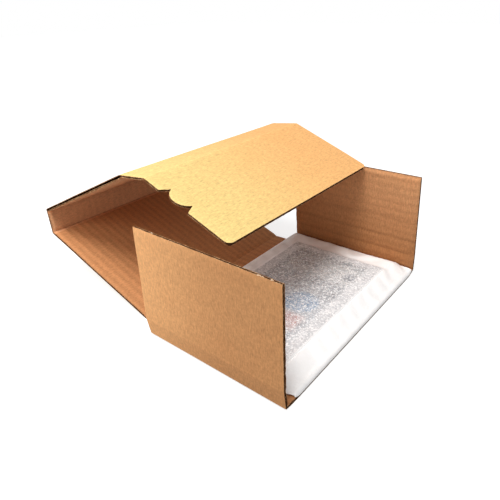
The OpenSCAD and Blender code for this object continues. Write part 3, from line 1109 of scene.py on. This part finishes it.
# %% [markdown]
# ## Torn fibres and nicks
#
# A die leaves short fibres standing on every cut edge, and small bright nicks where the
# blank was held in its sheet until the last moment. The fibres are many and random, so
# Geometry Nodes scatter them: the cut edges go in as lines, points are laid along them,
# and each point gets a small cone, turned and sized at random with a fixed seed.

# %% Build the tree that scatters fibres
ANY_WAY = 3.1  # radians of turn to either side
SMALLEST, LARGEST = 0.4, 1.3

hairs, given, result = tree_with("cut_fibres", [
    ("Geometry", "NodeSocketGeometry", None),
    ("Edges", "NodeSocketObject", None),
    ("Spacing", "NodeSocketFloat", 0.0026),
    ("Length", "NodeSocketFloat", 0.00045),
    ("Radius", "NodeSocketFloat", 0.00004),
    ("Scatter", "NodeSocketFloat", 0.0002),
    ("Seed", "NodeSocketInt", 5),
    ("Paper", "NodeSocketMaterial", None),
])
edges = add_node(hairs, "GeometryNodeObjectInfo", inputs={"Object": given.outputs["Edges"]})
lines = add_node(hairs, "GeometryNodeMeshToCurve", inputs={"Mesh": edges.outputs["Geometry"]})
laid = add_node(hairs, "GeometryNodeResampleCurve", {"mode": "LENGTH"}, {
    "Curve": lines.outputs[0], "Length": given.outputs["Spacing"],
})
spots = add_node(hairs, "GeometryNodeCurveToPoints", {"mode": "EVALUATED"}, {"Curve": laid.outputs[0]})
away = add_node(hairs, "FunctionNodeRandomValue", {"data_type": "FLOAT_VECTOR"}, {
    0: (-1, -1, -1), 1: (1, 1, 1), "Seed": given.outputs["Seed"],
})
away_by = add_node(hairs, "ShaderNodeVectorMath", {"operation": "SCALE"}, {
    0: away.outputs[0], "Scale": given.outputs["Scatter"],
})
moved = add_node(hairs, "GeometryNodeSetPosition", inputs={
    "Geometry": spots.outputs[0], "Offset": away_by.outputs[0],
})
spike = add_node(hairs, "GeometryNodeMeshCone", inputs={
    "Vertices": 4, "Radius Bottom": given.outputs["Radius"], "Depth": given.outputs["Length"],
})
turned = add_node(hairs, "FunctionNodeRandomValue", {"data_type": "FLOAT_VECTOR"}, {
    0: (-ANY_WAY,) * 3, 1: (ANY_WAY,) * 3, "Seed": given.outputs["Seed"],
})
sized = add_node(hairs, "FunctionNodeRandomValue", {"data_type": "FLOAT"}, {
    2: SMALLEST, 3: LARGEST, "Seed": given.outputs["Seed"],
})
facing = add_node(hairs, "FunctionNodeEulerToRotation", inputs={0: turned.outputs[0]})
set_out = add_node(hairs, "GeometryNodeInstanceOnPoints", inputs={
    "Points": moved.outputs[0], "Instance": spike.outputs[0],
    "Rotation": facing.outputs[0], "Scale": sized.outputs[1],
})
end_tree(hairs, set_out.outputs[0], given.outputs["Paper"], result)

# %% Scatter the fibres on each panel's cut edges
CUT_STEP, PLAIN_STEP = 0.0008, 0.002  # between the points of the guide lines

fibre_paper = Finish("torn_fibres", Specular_IOR_Level=0.2)
strand = fibre_paper.noise(400, 1.0)
fibre_paper.set(
    Base_Color=fibre_paper.mix(strand.above(0.35, 0.65), linear(172, 124, 82), linear(236, 206, 168)),
    Roughness=0.8 + (strand - 0.5) * 0.1,
)


def cut_lines(panel):
    """The panel's free edges, on both liners, as rows of points."""
    u0, u1 = REACH, panel.length - (REACH if panel.end_fold else 0)
    if panel is base:
        runs = [(spread(BASE_NEAR, BASE_FAR, PLAIN_STEP), None, BASE_X)]
    else:
        us = spread(u0, u1, CUT_STEP)
        runs = [(us, None, panel.low), (us, None, panel.high)]
        if not panel.end_fold:
            vs = spread(panel.low + PLAIN_STEP, panel.high - PLAIN_STEP, PLAIN_STEP)
            runs.append((None, vs, u1))
    rows = []
    for us, vs, fixed in runs:
        u = us if us is not None else np.full(len(vs), fixed)
        v = vs if vs is not None else np.full(len(us), fixed)
        tu, tv = panel.trim(u, v)
        for side in (-1, 1):
            rows.append(panel.point(tu, tv, panel.skin(u, v, side) - side * LINER * 0.5))
    return rows


def fibres_on(panel, seed):
    """Runs the tree along lines that are made for it and removed again."""
    verts, links = [], []
    for row in cut_lines(panel):
        links += [(len(verts) + k, len(verts) + k + 1) for k in range(len(row) - 1)]
        verts += row.tolist()
    guide_mesh = bpy.data.meshes.new("guide")
    guide_mesh.from_pydata(verts, links, [])
    guide = shown("guide", guide_mesh)
    mesh = grown(panel.node + "_fibres", hairs, {
        "Edges": guide, "Seed": seed, "Paper": fibre_paper.material,
    })
    bpy.data.objects.remove(guide)
    piece = shown(panel.node + "_fibres", mesh)
    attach(piece, "base" if panel is base else panel.node)
    return piece


FIBRE_SEED = 40
fibres = [fibres_on(p, FIBRE_SEED + k) for k, p in enumerate([*panels.values(), base])]
print("fibres:", sum(len(f.data.polygons) for f in fibres), "faces")

# %% [markdown]
# The nicks are few and each has its place, so they are made one by one: a pinch of torn
# paper is a few small lumps, squashed flat and pushed about at random, always in the
# same way.

# %% Tear the nicks
rng = np.random.default_rng(11)
SQUASHED = np.array([1.3, 0.7, 0.5])

torn_paper = Finish("torn_nick", Specular_IOR_Level=0.2)
fluff = torn_paper.noise(1500, 2.0)
torn_paper.set(
    Base_Color=torn_paper.mix(fluff.above(0.35, 0.65), linear(216, 176, 136), linear(250, 232, 206)),
    Roughness=0.85 + (fluff - 0.5) * 0.1, Normal=torn_paper.bump(fluff, 0.0002, 0.7),
)


def nick(panel, name, places, lumps=4):
    """Piles of lumps. Each place is how far from the fold, how far along it, and a size."""
    shape = bmesh.new()
    for u, v, size in places:
        for _ in range(lumps):
            at = panel.point(
                np.array(u + rng.normal(0, size * 0.18)), np.array(v + rng.normal(0, size * 0.55)),
                np.array(rng.uniform(-0.0013, 0.0001)),
            )
            radius = size * rng.uniform(0.28, 0.5)
            made = bmesh.ops.create_icosphere(shape, subdivisions=1, radius=radius)
            for vert in made["verts"]:
                push = Vector(rng.uniform(0.6, 1.4, 3) * SQUASHED)
                vert.co = Vector(at) + Vector(a * b for a, b in zip(vert.co, push))
    mesh = bpy.data.meshes.new(name)
    shape.to_mesh(mesh)
    shape.free()
    mesh.materials.append(torn_paper.material)
    piece = shown(name, mesh)
    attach(piece, panel.node)


near_nicks = [
    (FLAP_LENGTH + 0.0001, x, size) for x, size in ((-0.0395, 0.0010), (0.0425, 0.0012), (0.0495, 0.0010))
]
closing_nicks = [(CLOSING_LENGTH - 0.0001, y, 0.0008) for y in (-0.052, -0.012, 0.031)]
nick(panels["near_inner_flap"], "near_flap_nicks", near_nicks)
nick(panels["closing_flap"], "closing_flap_nicks", closing_nicks, lumps=2)
print("nicks:", len(near_nicks) + len(closing_nicks))

# %% [markdown]
# ## The foam envelope
#
# The envelope is two sheets of soft white foam, closed round its edges, with the case
# between them. The top sheet lies on the case, sags a little beside it and rounds down
# to the edge. We build that closed pillow as a fine grid, then let Blender's cloth
# puff it a little from inside, with the part that lies on the case held still, and
# limit how far a point may move. That gives the small, uneven swells of real foam.

# %% Lay a grid over the envelope
pouch_low, pouch_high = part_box("foam_envelope")
POUCH_X, POUCH_LOW, POUCH_HIGH, POUCH_TOP = pouch_high.x, pouch_low.y, pouch_high.y, pouch_high.z
case_low, case_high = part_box("case_front")
CASE_X, CASE_Y = (case_low.x + case_high.x) / 2, (case_low.y + case_high.y) / 2
CASE_W, CASE_L = case_high.x - case_low.x, case_high.y - case_low.y
LIP, LIP_OUT, LIP_Z = 0.0022, 0.0010, 0.0018  # the rows that roll over the board's edge
FOAM_STEP, FOAM_FINE = 0.0018, 0.0005


def smooth(t):
    """0 below 0, 1 above 1, and a smooth rise between."""
    t = np.clip(t, 0, 1)
    return t * t * (3 - 2 * t)


CASE_FRONT = CASE_X + CASE_W / 2
xs = merged(
    spread(-POUCH_X, POUCH_X, FOAM_STEP), spread(POUCH_X - LIP, POUCH_X, FOAM_FINE),
    spread(CASE_FRONT - 0.001, CASE_FRONT + 0.0035, FOAM_FINE),
)
gx, gy = np.meshgrid(xs, spread(POUCH_LOW, POUCH_HIGH, FOAM_STEP), indexing="ij")
dx = np.maximum(np.abs(gx - CASE_X) - CASE_W / 2, 0)
dy = np.maximum(np.abs(gy - CASE_Y) - CASE_L / 2, 0)
beside = np.sqrt(dx**2 + dy**2)  # distance from the case
seam = np.minimum(gx + POUCH_X, np.minimum(gy - POUCH_LOW, POUCH_HIGH - gy))  # from the closed edges
lip = np.clip((gx - POUCH_X + LIP) / LIP, 0, 1)  # how far round the front edge
HELD_SEAM = 0.004  # next to the closed edges the foam hardly swells
print("envelope grid:", gx.shape, "points")

# %% [markdown]
# Along the front, where the mailer has no wall, the foam slopes down from the case and
# is pressed over the board's edge, so its last rows roll down in front of it. Along the
# rear it has a few creases that run with the edge. The other swells come from waves of
# different lengths, in radians a metre, laid over each other.

# %% Raise the top sheet
EDGE_Z, ROUND = 0.0072, 0.008  # the height of the closed edges, and how far in the foam rounds
SAG, SAG_WIDTH, SEAM_WIDTH, FRONT_SAG = 0.0017, 0.0028, 0.006, 0.45  # how it sinks beside the case
DIP, DIP_AT, DIP_WIDTH = 0.0009, 0.0012, 0.0006  # the line pressed in along the case's front
SLOPE_FROM, SLOPE_DROP = 0.002, 0.0056  # the long slope from there to the board's edge

rise = np.sin(math.pi / 2 * np.clip(seam / ROUND, 0, 1))
top_z = EDGE_Z + (POUCH_TOP - EDGE_Z) * rise
past_case = gx - CASE_FRONT
by_length = smooth((CASE_L / 2 + 0.004 - np.abs(gy - CASE_Y)) / 0.006)
in_front = smooth((past_case + 0.001) / 0.002) * by_length
sag = SAG * smooth(beside / SAG_WIDTH) * smooth(seam / SEAM_WIDTH)
top_z = top_z - sag * (1 - (1 - FRONT_SAG) * in_front)
top_z = top_z - DIP * bell(past_case - DIP_AT, DIP_WIDTH) * in_front
swell = 0.00020 * np.sin(gx * 310 + np.sin(gy * 90) * 1.3) * np.sin(gy * 170 + np.sin(gx * 120))
ripple = 0.00022 * np.sin(gy * 420 + np.sin(gx * 150) * 2.0) * smooth(beside / 0.003)
crease = 0.00032 * np.sin(gx * 1500 + np.sin(gy * 55) * 1.8) * (1 - smooth((gx + POUCH_X) / 0.026))
top_z = top_z + (swell + ripple + crease) * smooth(seam / HELD_SEAM)
slope = np.clip((past_case - SLOPE_FROM) / (POUCH_X - LIP - CASE_FRONT - SLOPE_FROM), 0, 1)
top_z = top_z - (SLOPE_DROP + SAG * 0.5 * in_front) * slope**1.15
print("the top sheet lies", round(top_z.min() * 1000, 1), "to", round(top_z.max() * 1000, 1), "mm up")

# %% Roll the front edge over and lay the sheet below
THINNEST = 0.0014  # of both foam sheets together
REACH_OUT, REACH_FROM = 0.0021, 0.070  # the far end is drawn out towards the far wall
PAST_EDGE = 0.0008  # how far in front of the board's edge the lower sheet turns down
TURN_AT = 0.6  # where along the lip it does so
LIFT = 0.00012  # of the lower sheet, off the board

reach = REACH_OUT * smooth((gx - 0.020) / 0.034)
reach = reach * smooth((gy - REACH_FROM) / (POUCH_HIGH - REACH_FROM))
curl = curl_height(gy + reach)
top_z = np.maximum(top_z, THICK + curl + THINNEST)
low_z = LIP_Z + curl
lip_from = POUCH_X - LIP
top_x = np.where(lip > 0, lip_from + (LIP + LIP_OUT) * np.sin(lip * math.pi / 2), gx)
top_z = np.where(lip > 0, low_z + (top_z - low_z) * np.cos(lip * math.pi / 2) ** 0.8, top_z)
turned_x = np.minimum(lip_from + (PAST_EDGE + LIP) * lip / TURN_AT, POUCH_X + PAST_EDGE)
under_x = np.where(lip > 0, turned_x, gx)
under_z = THICK + curl + LIFT + 0.0008 * (1 - smooth(seam / HELD_SEAM))
turned_z = under_z + (low_z - under_z) * (lip - TURN_AT) / (1 - TURN_AT)
under_z = np.where(lip > TURN_AT, turned_z, under_z)
print("the front edge comes down to", round(low_z.min() * 1000, 1), "mm")

# %% Round the corners
CORNER = 0.006
TUCK, TUCK_X, TUCK_Y = 0.0042, 0.011, 0.016  # the near front corner is tucked in

from_front, from_end = POUCH_X - gx, np.minimum(gy - POUCH_LOW, POUCH_HIGH - gy)
corner = np.clip(1 - (POUCH_X - np.abs(gx)) / CORNER, 0, 1) * np.clip(1 - from_end / CORNER, 0, 1)
corner = corner * np.where((gx > 0) & (gy > 0), 0.3, 1.0)
tucked = np.clip(1 - from_front / TUCK_X, 0, 1) * np.clip(1 - (gy - POUCH_LOW) / TUCK_Y, 0, 1)
new_y = gy + reach - np.sign(gy) * corner * 0.0011 + TUCK * tucked
top = np.stack([top_x - np.sign(gx) * corner * 0.0009, new_y, top_z], -1)
under = np.stack([under_x - np.sign(gx) * corner * 0.0003, new_y, under_z], -1)
verts, faces, _ = slab(top, under)
print("envelope:", len(verts), "points")

# %% [markdown]
# The foam is milky: where it lies on the case you can see the case and the card through
# it, broken up by the foam's cells, and where there is air under it, it is plain white.
# Alpha does this. It is clearest over the card, less so over the case's raised rim, and
# fine cells vary it, so that the card shows as a speckle.

# %% Make the foam's finish
foam = Finish("milky_foam", Specular_IOR_Level=0.2)


def window(low, high, soft):
    """1 over a rectangle of the envelope, fading to 0 round it."""
    fade_x = (high.x - low.x) / 2 - (foam.axis("X") - (low.x + high.x) / 2).size()
    fade_y = (high.y - low.y) / 2 - (foam.axis("Y") - (low.y + high.y) / 2).size()
    return fade_x.least(fade_y).above(-soft, soft)


card_low, card_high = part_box("trading_card")
label_low, label_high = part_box("label_slip")
slip_low, slip_high = Vector((card_low.x, card_low.y, 0)), Vector((card_high.x, label_high.y, 0))
drift = foam.noise(75, 3.0)
cells = foam.cells(1250)
speck = foam.node("ShaderNodeSeparateColor", inputs={0: foam.cells(1050, output=1)})
small_speck = foam.node("ShaderNodeSeparateColor", inputs={0: foam.cells(2300, output=1)})
grain = speck * 0.75 + small_speck * 0.25
is_top = foam.axis("Z").above(EDGE_Z, 0.0090)
clear_share = window(case_low, case_high, 0.0009) * 0.22 + window(slip_low, slip_high, 0.0030) * 0.36
clear_share = clear_share * (1.0 + (drift - 0.5) * 1.1) * is_top
white_dots = (1.0 - grain) * (1.0 - grain) * 1.6
alpha = 1.0 - (clear_share * (1.45 - white_dots)).most(0.0).least(0.95)
milk = foam.mix(clear_share.above(0.02, 0.25), linear(250, 249, 248), linear(228, 228, 230))
foam.set(
    Base_Color=foam.mix(grain.above(0.15, 0.60), linear(252, 251, 251), milk),
    Alpha=alpha,
    Roughness=0.6 + (grain - 0.5) * 0.2,
    Normal=foam.bump(cells * 0.5 + grain * 0.5, 0.00030, 0.45),
)
print("foam nodes:", len(foam.tree.nodes))

# %% Puff the envelope with cloth
envelope = new_piece("foam_envelope_skin", verts, faces.tolist(), [foam.material])
rest = points_of(envelope.data)
held = 1 - smooth((beside - 0.001) / 0.004) * 0.97
held = np.maximum(np.maximum(held, 1 - smooth(seam / HELD_SEAM)), smooth(lip * 3))
hold = np.concatenate([held.ravel(), np.ones(held.size)])
SWELL_LIMIT = 0.0011
CLOTH_FRAMES = 18
SIDEWAYS = 0.3  # of the cloth's sideways moves are kept


def puff(piece):
    """Lets cloth with some pressure swell the free parts, then limits how far each point moves."""
    group = piece.vertex_groups.new(name="held")
    for index, weight in enumerate(hold):
        group.add([index], float(weight), "REPLACE")
    cloth = piece.modifiers.new("cloth", "CLOTH")
    cloth.settings.quality = 6
    cloth.settings.mass = 0.15
    cloth.settings.tension_stiffness = 12
    cloth.settings.compression_stiffness = 12
    cloth.settings.bending_stiffness = 1.2
    cloth.settings.effector_weights.gravity = 0
    cloth.settings.use_pressure = True
    cloth.settings.uniform_pressure_force = 3.5
    cloth.settings.vertex_group_mass = "held"
    cloth.settings.pin_stiffness = 1.0
    cloth.settings.shrink_min = -0.012
    for number in range(1, CLOTH_FRAMES + 1):
        scene.frame_set(number)
    graph = bpy.context.evaluated_depsgraph_get()
    swollen = bpy.data.meshes.new_from_object(piece.evaluated_get(graph))
    moved = points_of(swollen) - rest
    piece.modifiers.remove(cloth)
    bpy.data.meshes.remove(swollen)
    length = np.linalg.norm(moved, axis=1, keepdims=True)
    moved = moved * np.minimum(1, SWELL_LIMIT / np.maximum(length, 1e-9)) * (1 - hold)[:, None]
    moved[:, 0:2] *= SIDEWAYS
    piece.data.vertices.foreach_set("co", (rest + moved).ravel())
    piece.data.update()
    piece.vertex_groups.clear()
    scene.frame_set(1)
    return float(length.max())


print("largest swell before the limit:", round(puff(envelope) * 1000, 2), "mm")
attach(envelope, "base")
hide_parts("foam_envelope")
print("envelope:", len(envelope.data.polygons), "faces")

# %% [markdown]
# ## The case, the card and the label
#
# The case's solids already have the right shape, so they stay and only get a finish:
# clear plastic, thin enough for alpha, with a gloss coat and faint haze. The back shell
# lies on the lower foam sheet, which shows white through it, so it is hazier. The card
# and its label show only as soft patches of colour through the foam. They carry a plain
# pattern of our own: blocks, discs and a band, drawn with simple masks.

# %% Finish the case
clear = Finish("clear_case", Coat_Roughness=0.04, Specular_IOR_Level=0.5)
haze = clear.noise(55, 3.0)
scuff = clear.noise(260, 2.0, (1, 6, 1))
clear.set(
    Base_Color=clear.mix(haze, linear(232, 236, 240), linear(246, 248, 250)),
    Alpha=0.20 + haze * 0.12 + scuff.above(0.62, 0.72) * 0.10,
    Roughness=0.08 + scuff.above(0.5, 0.7) * 0.12,
    Coat_Weight=0.5 + haze * 0.2,
)
lined = Finish("clear_case_back", Coat_Roughness=0.04, Specular_IOR_Level=0.5)
haze = lined.noise(55, 3.0)
lined.set(
    Base_Color=lined.mix(haze, linear(226, 228, 230), linear(244, 245, 246)),
    Alpha=0.74 + haze * 0.12, Roughness=0.12 + haze * 0.08, Coat_Weight=0.5 + haze * 0.2,
)


def dress(node, finish):
    """Gives a solid its finish, in place of the one it came with."""
    mesh = frame["nodes"][node].data
    mesh.materials.clear()
    mesh.materials.append(finish.material)


dress("case_back", lined)
dress("case_front", clear)
print("case finished, in two shells")


# %% Print the card
def within(f, x0, x1, y0, y1, soft=0.0004):
    """1 inside a rectangle on the card, 0 outside it."""
    x, y = f.axis("X"), f.axis("Y")
    sides = (x - x0).least(x1 - x).least((y - y0).least(y1 - y))
    return sides.above(-soft, soft)


def disc(f, x0, y0, radius, soft=0.0004):
    x, y = f.axis("X") - x0, f.axis("Y") - y0
    return (radius - (x * x + y * y) ** 0.5).above(-soft, soft)


printed = Finish("printed_card", Specular_IOR_Level=0.4)
ink = printed.noise(900, 1.0)
inset = 0.003
left, right_side = card_low.x + inset, card_high.x - inset
ground = printed.mix(
    within(printed, left, right_side, card_low.y + inset, card_high.y - inset),
    linear(244, 246, 248), linear(214, 220, 228),
)
for shape, tone in (
    (within(printed, left, right_side, 0.005, card_high.y, 0.0012), (158, 160, 166)),
    (disc(printed, 0.011, -0.007, 0.0130, 0.0020), (74, 178, 236)),
    (disc(printed, -0.012, -0.006, 0.0080, 0.0015), (128, 160, 188)),
    (within(printed, 0.006, 0.024, -0.040, -0.022, 0.0025), (255, 144, 118)),
    (within(printed, -0.024, 0.000, -0.038, -0.022, 0.0010), (128, 146, 168)),
    (within(printed, -0.024, 0.026, -0.055, -0.045, 0.0015), (176, 184, 196)),
):
    ground = printed.mix(shape, ground, linear(*tone))
inked = printed.mix((ink - 0.4) * 0.2, ground, linear(60, 64, 72))
printed.set(Base_Color=inked, Roughness=0.35 + ink * 0.1)
dress("trading_card", printed)
print("card nodes:", len(printed.tree.nodes))

# %% Print the label
label = Finish("printed_label", Specular_IOR_Level=0.4)
paper_grain = label.noise(700, 2.0)
field = label.mix(paper_grain, linear(236, 234, 228), linear(250, 249, 245))
left, middle = label_low.x, (label_low.y + label_high.y) / 2
block = within(label, left + 0.006, left + 0.026, middle - 0.006, middle + 0.007, 0.0015)
field = label.mix(block, field, linear(104, 116, 126))
mark = disc(label, 0.0245, middle - 0.001, 0.0062, 0.0012)
field = label.mix(mark, field, linear(96, 104, 120))
label.set(Base_Color=field, Roughness=0.5 + (paper_grain - 0.5) * 0.2)
dress("label_slip", label)
print("label nodes:", len(label.tree.nodes))

# %% [markdown]
# ## Floor and light
#
# The floor is pale, and white to the camera. Part of that white is a glow that only the
# camera sees, so it adds no light to the object, and it grows a little with distance,
# where the lamps no longer reach. The rest is the floor's own grey, lit by the lamps, so
# the mailer keeps its shadow.

# %% Lay the floor
FLOOR_SIZE, FLOOR_DROP = 8.0, 0.0003
floor_mesh = bpy.data.meshes.new("floor")
s = FLOOR_SIZE / 2
ends = [(x, y, -FLOOR_DROP) for x, y in ((-s, -s), (s, -s), (s, s), (-s, s))]
floor_mesh.from_pydata(ends, [], [(0, 1, 2, 3)])
floor = shown("floor", floor_mesh)
floor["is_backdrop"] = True

pale = Finish("pale_floor", Roughness=0.9, Specular_IOR_Level=0.0)
x, y = pale.axis("X"), pale.axis("Y")
far = ((x * x + y * y) ** 0.5).above(0.3, 1.3)
pale.set(Base_Color=(0.52, 0.52, 0.52))
seen = pale.node("ShaderNodeLightPath", output=0)
glow = pale.node("ShaderNodeEmission", inputs={
    "Color": (1, 1, 1), "Strength": seen * (0.70 + far * 0.30),
})
both = add_node(pale.tree, "ShaderNodeAddShader", inputs={0: pale.shader.outputs[0], 1: glow.socket})
pale.tree.links.new(both.outputs[0], pale.tree.nodes["Material Output"].inputs[0])
floor_mesh.materials.append(pale.material)
print("floor:", FLOOR_SIZE, "m wide")

# %% [markdown]
# The world lights everything softly, but is white to the camera, to reflections and
# through clear plastic. One broad lamp stands above, a little towards the near side, and
# gives the cover's shadow on the envelope. A smaller one stands near the rear end of the
# near flap, which fades from left to right.

# %% Make the world
world = bpy.data.worlds.new("studio")
scene.world = world
world.use_nodes = True
air = world.node_tree
WHITE, WORLD_LIGHT = (1, 1, 1, 1), 0.42

path = add_node(air, "ShaderNodeLightPath")
plain = air.nodes["Background"]
plain.inputs["Color"].default_value = WHITE
plain.inputs["Strength"].default_value = WORLD_LIGHT
white = add_node(air, "ShaderNodeBackground", inputs={"Color": WHITE, "Strength": 1.0})
sees = path.outputs["Is Camera Ray"]
for ray in ("Is Glossy Ray", "Is Transmission Ray"):
    sees = maths(air, "MAXIMUM", sees, path.outputs[ray])
pick = add_node(air, "ShaderNodeMixShader", inputs={0: sees, 1: plain.outputs[0], 2: white.outputs[0]})
air.links.new(pick.outputs[0], air.nodes["World Output"].inputs[0])
print("world nodes:", len(air.nodes))


# %% Hang the lamps
def soft_lamp(name, at, towards, size, watts, colour):
    lamp = bpy.data.lights.new(name, "AREA")
    lamp.shape, lamp.size, lamp.energy, lamp.color = "DISK", size, watts, colour
    holder = bpy.data.objects.new(name, lamp)
    holder.location = at
    holder.rotation_euler = (Vector(towards) - Vector(at)).to_track_quat("-Z", "Y").to_euler()
    holder.visible_camera = False
    scene.collection.objects.link(holder)


soft_lamp("overhead", (0.05, -0.36, 0.95), (0, 0, 0.03), 0.45, 9.0, (1.0, 0.99, 0.98))
soft_lamp("left", (-0.20, -0.27, 0.17), (-0.03, -0.09, 0.055), 0.10, 0.29, (1.0, 0.98, 0.95))
print("lamps: 2")

# %% [markdown]
# ## Check the size
#
# The dressed part must stay the size of its solids.

# %% Compare the boxes
low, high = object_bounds()
worst = max(abs(a - b) for a, b in zip([*low, *high], [*cad_low, *cad_high]))
print("largest difference from the solids:", round(worst * 1000, 2), "mm")
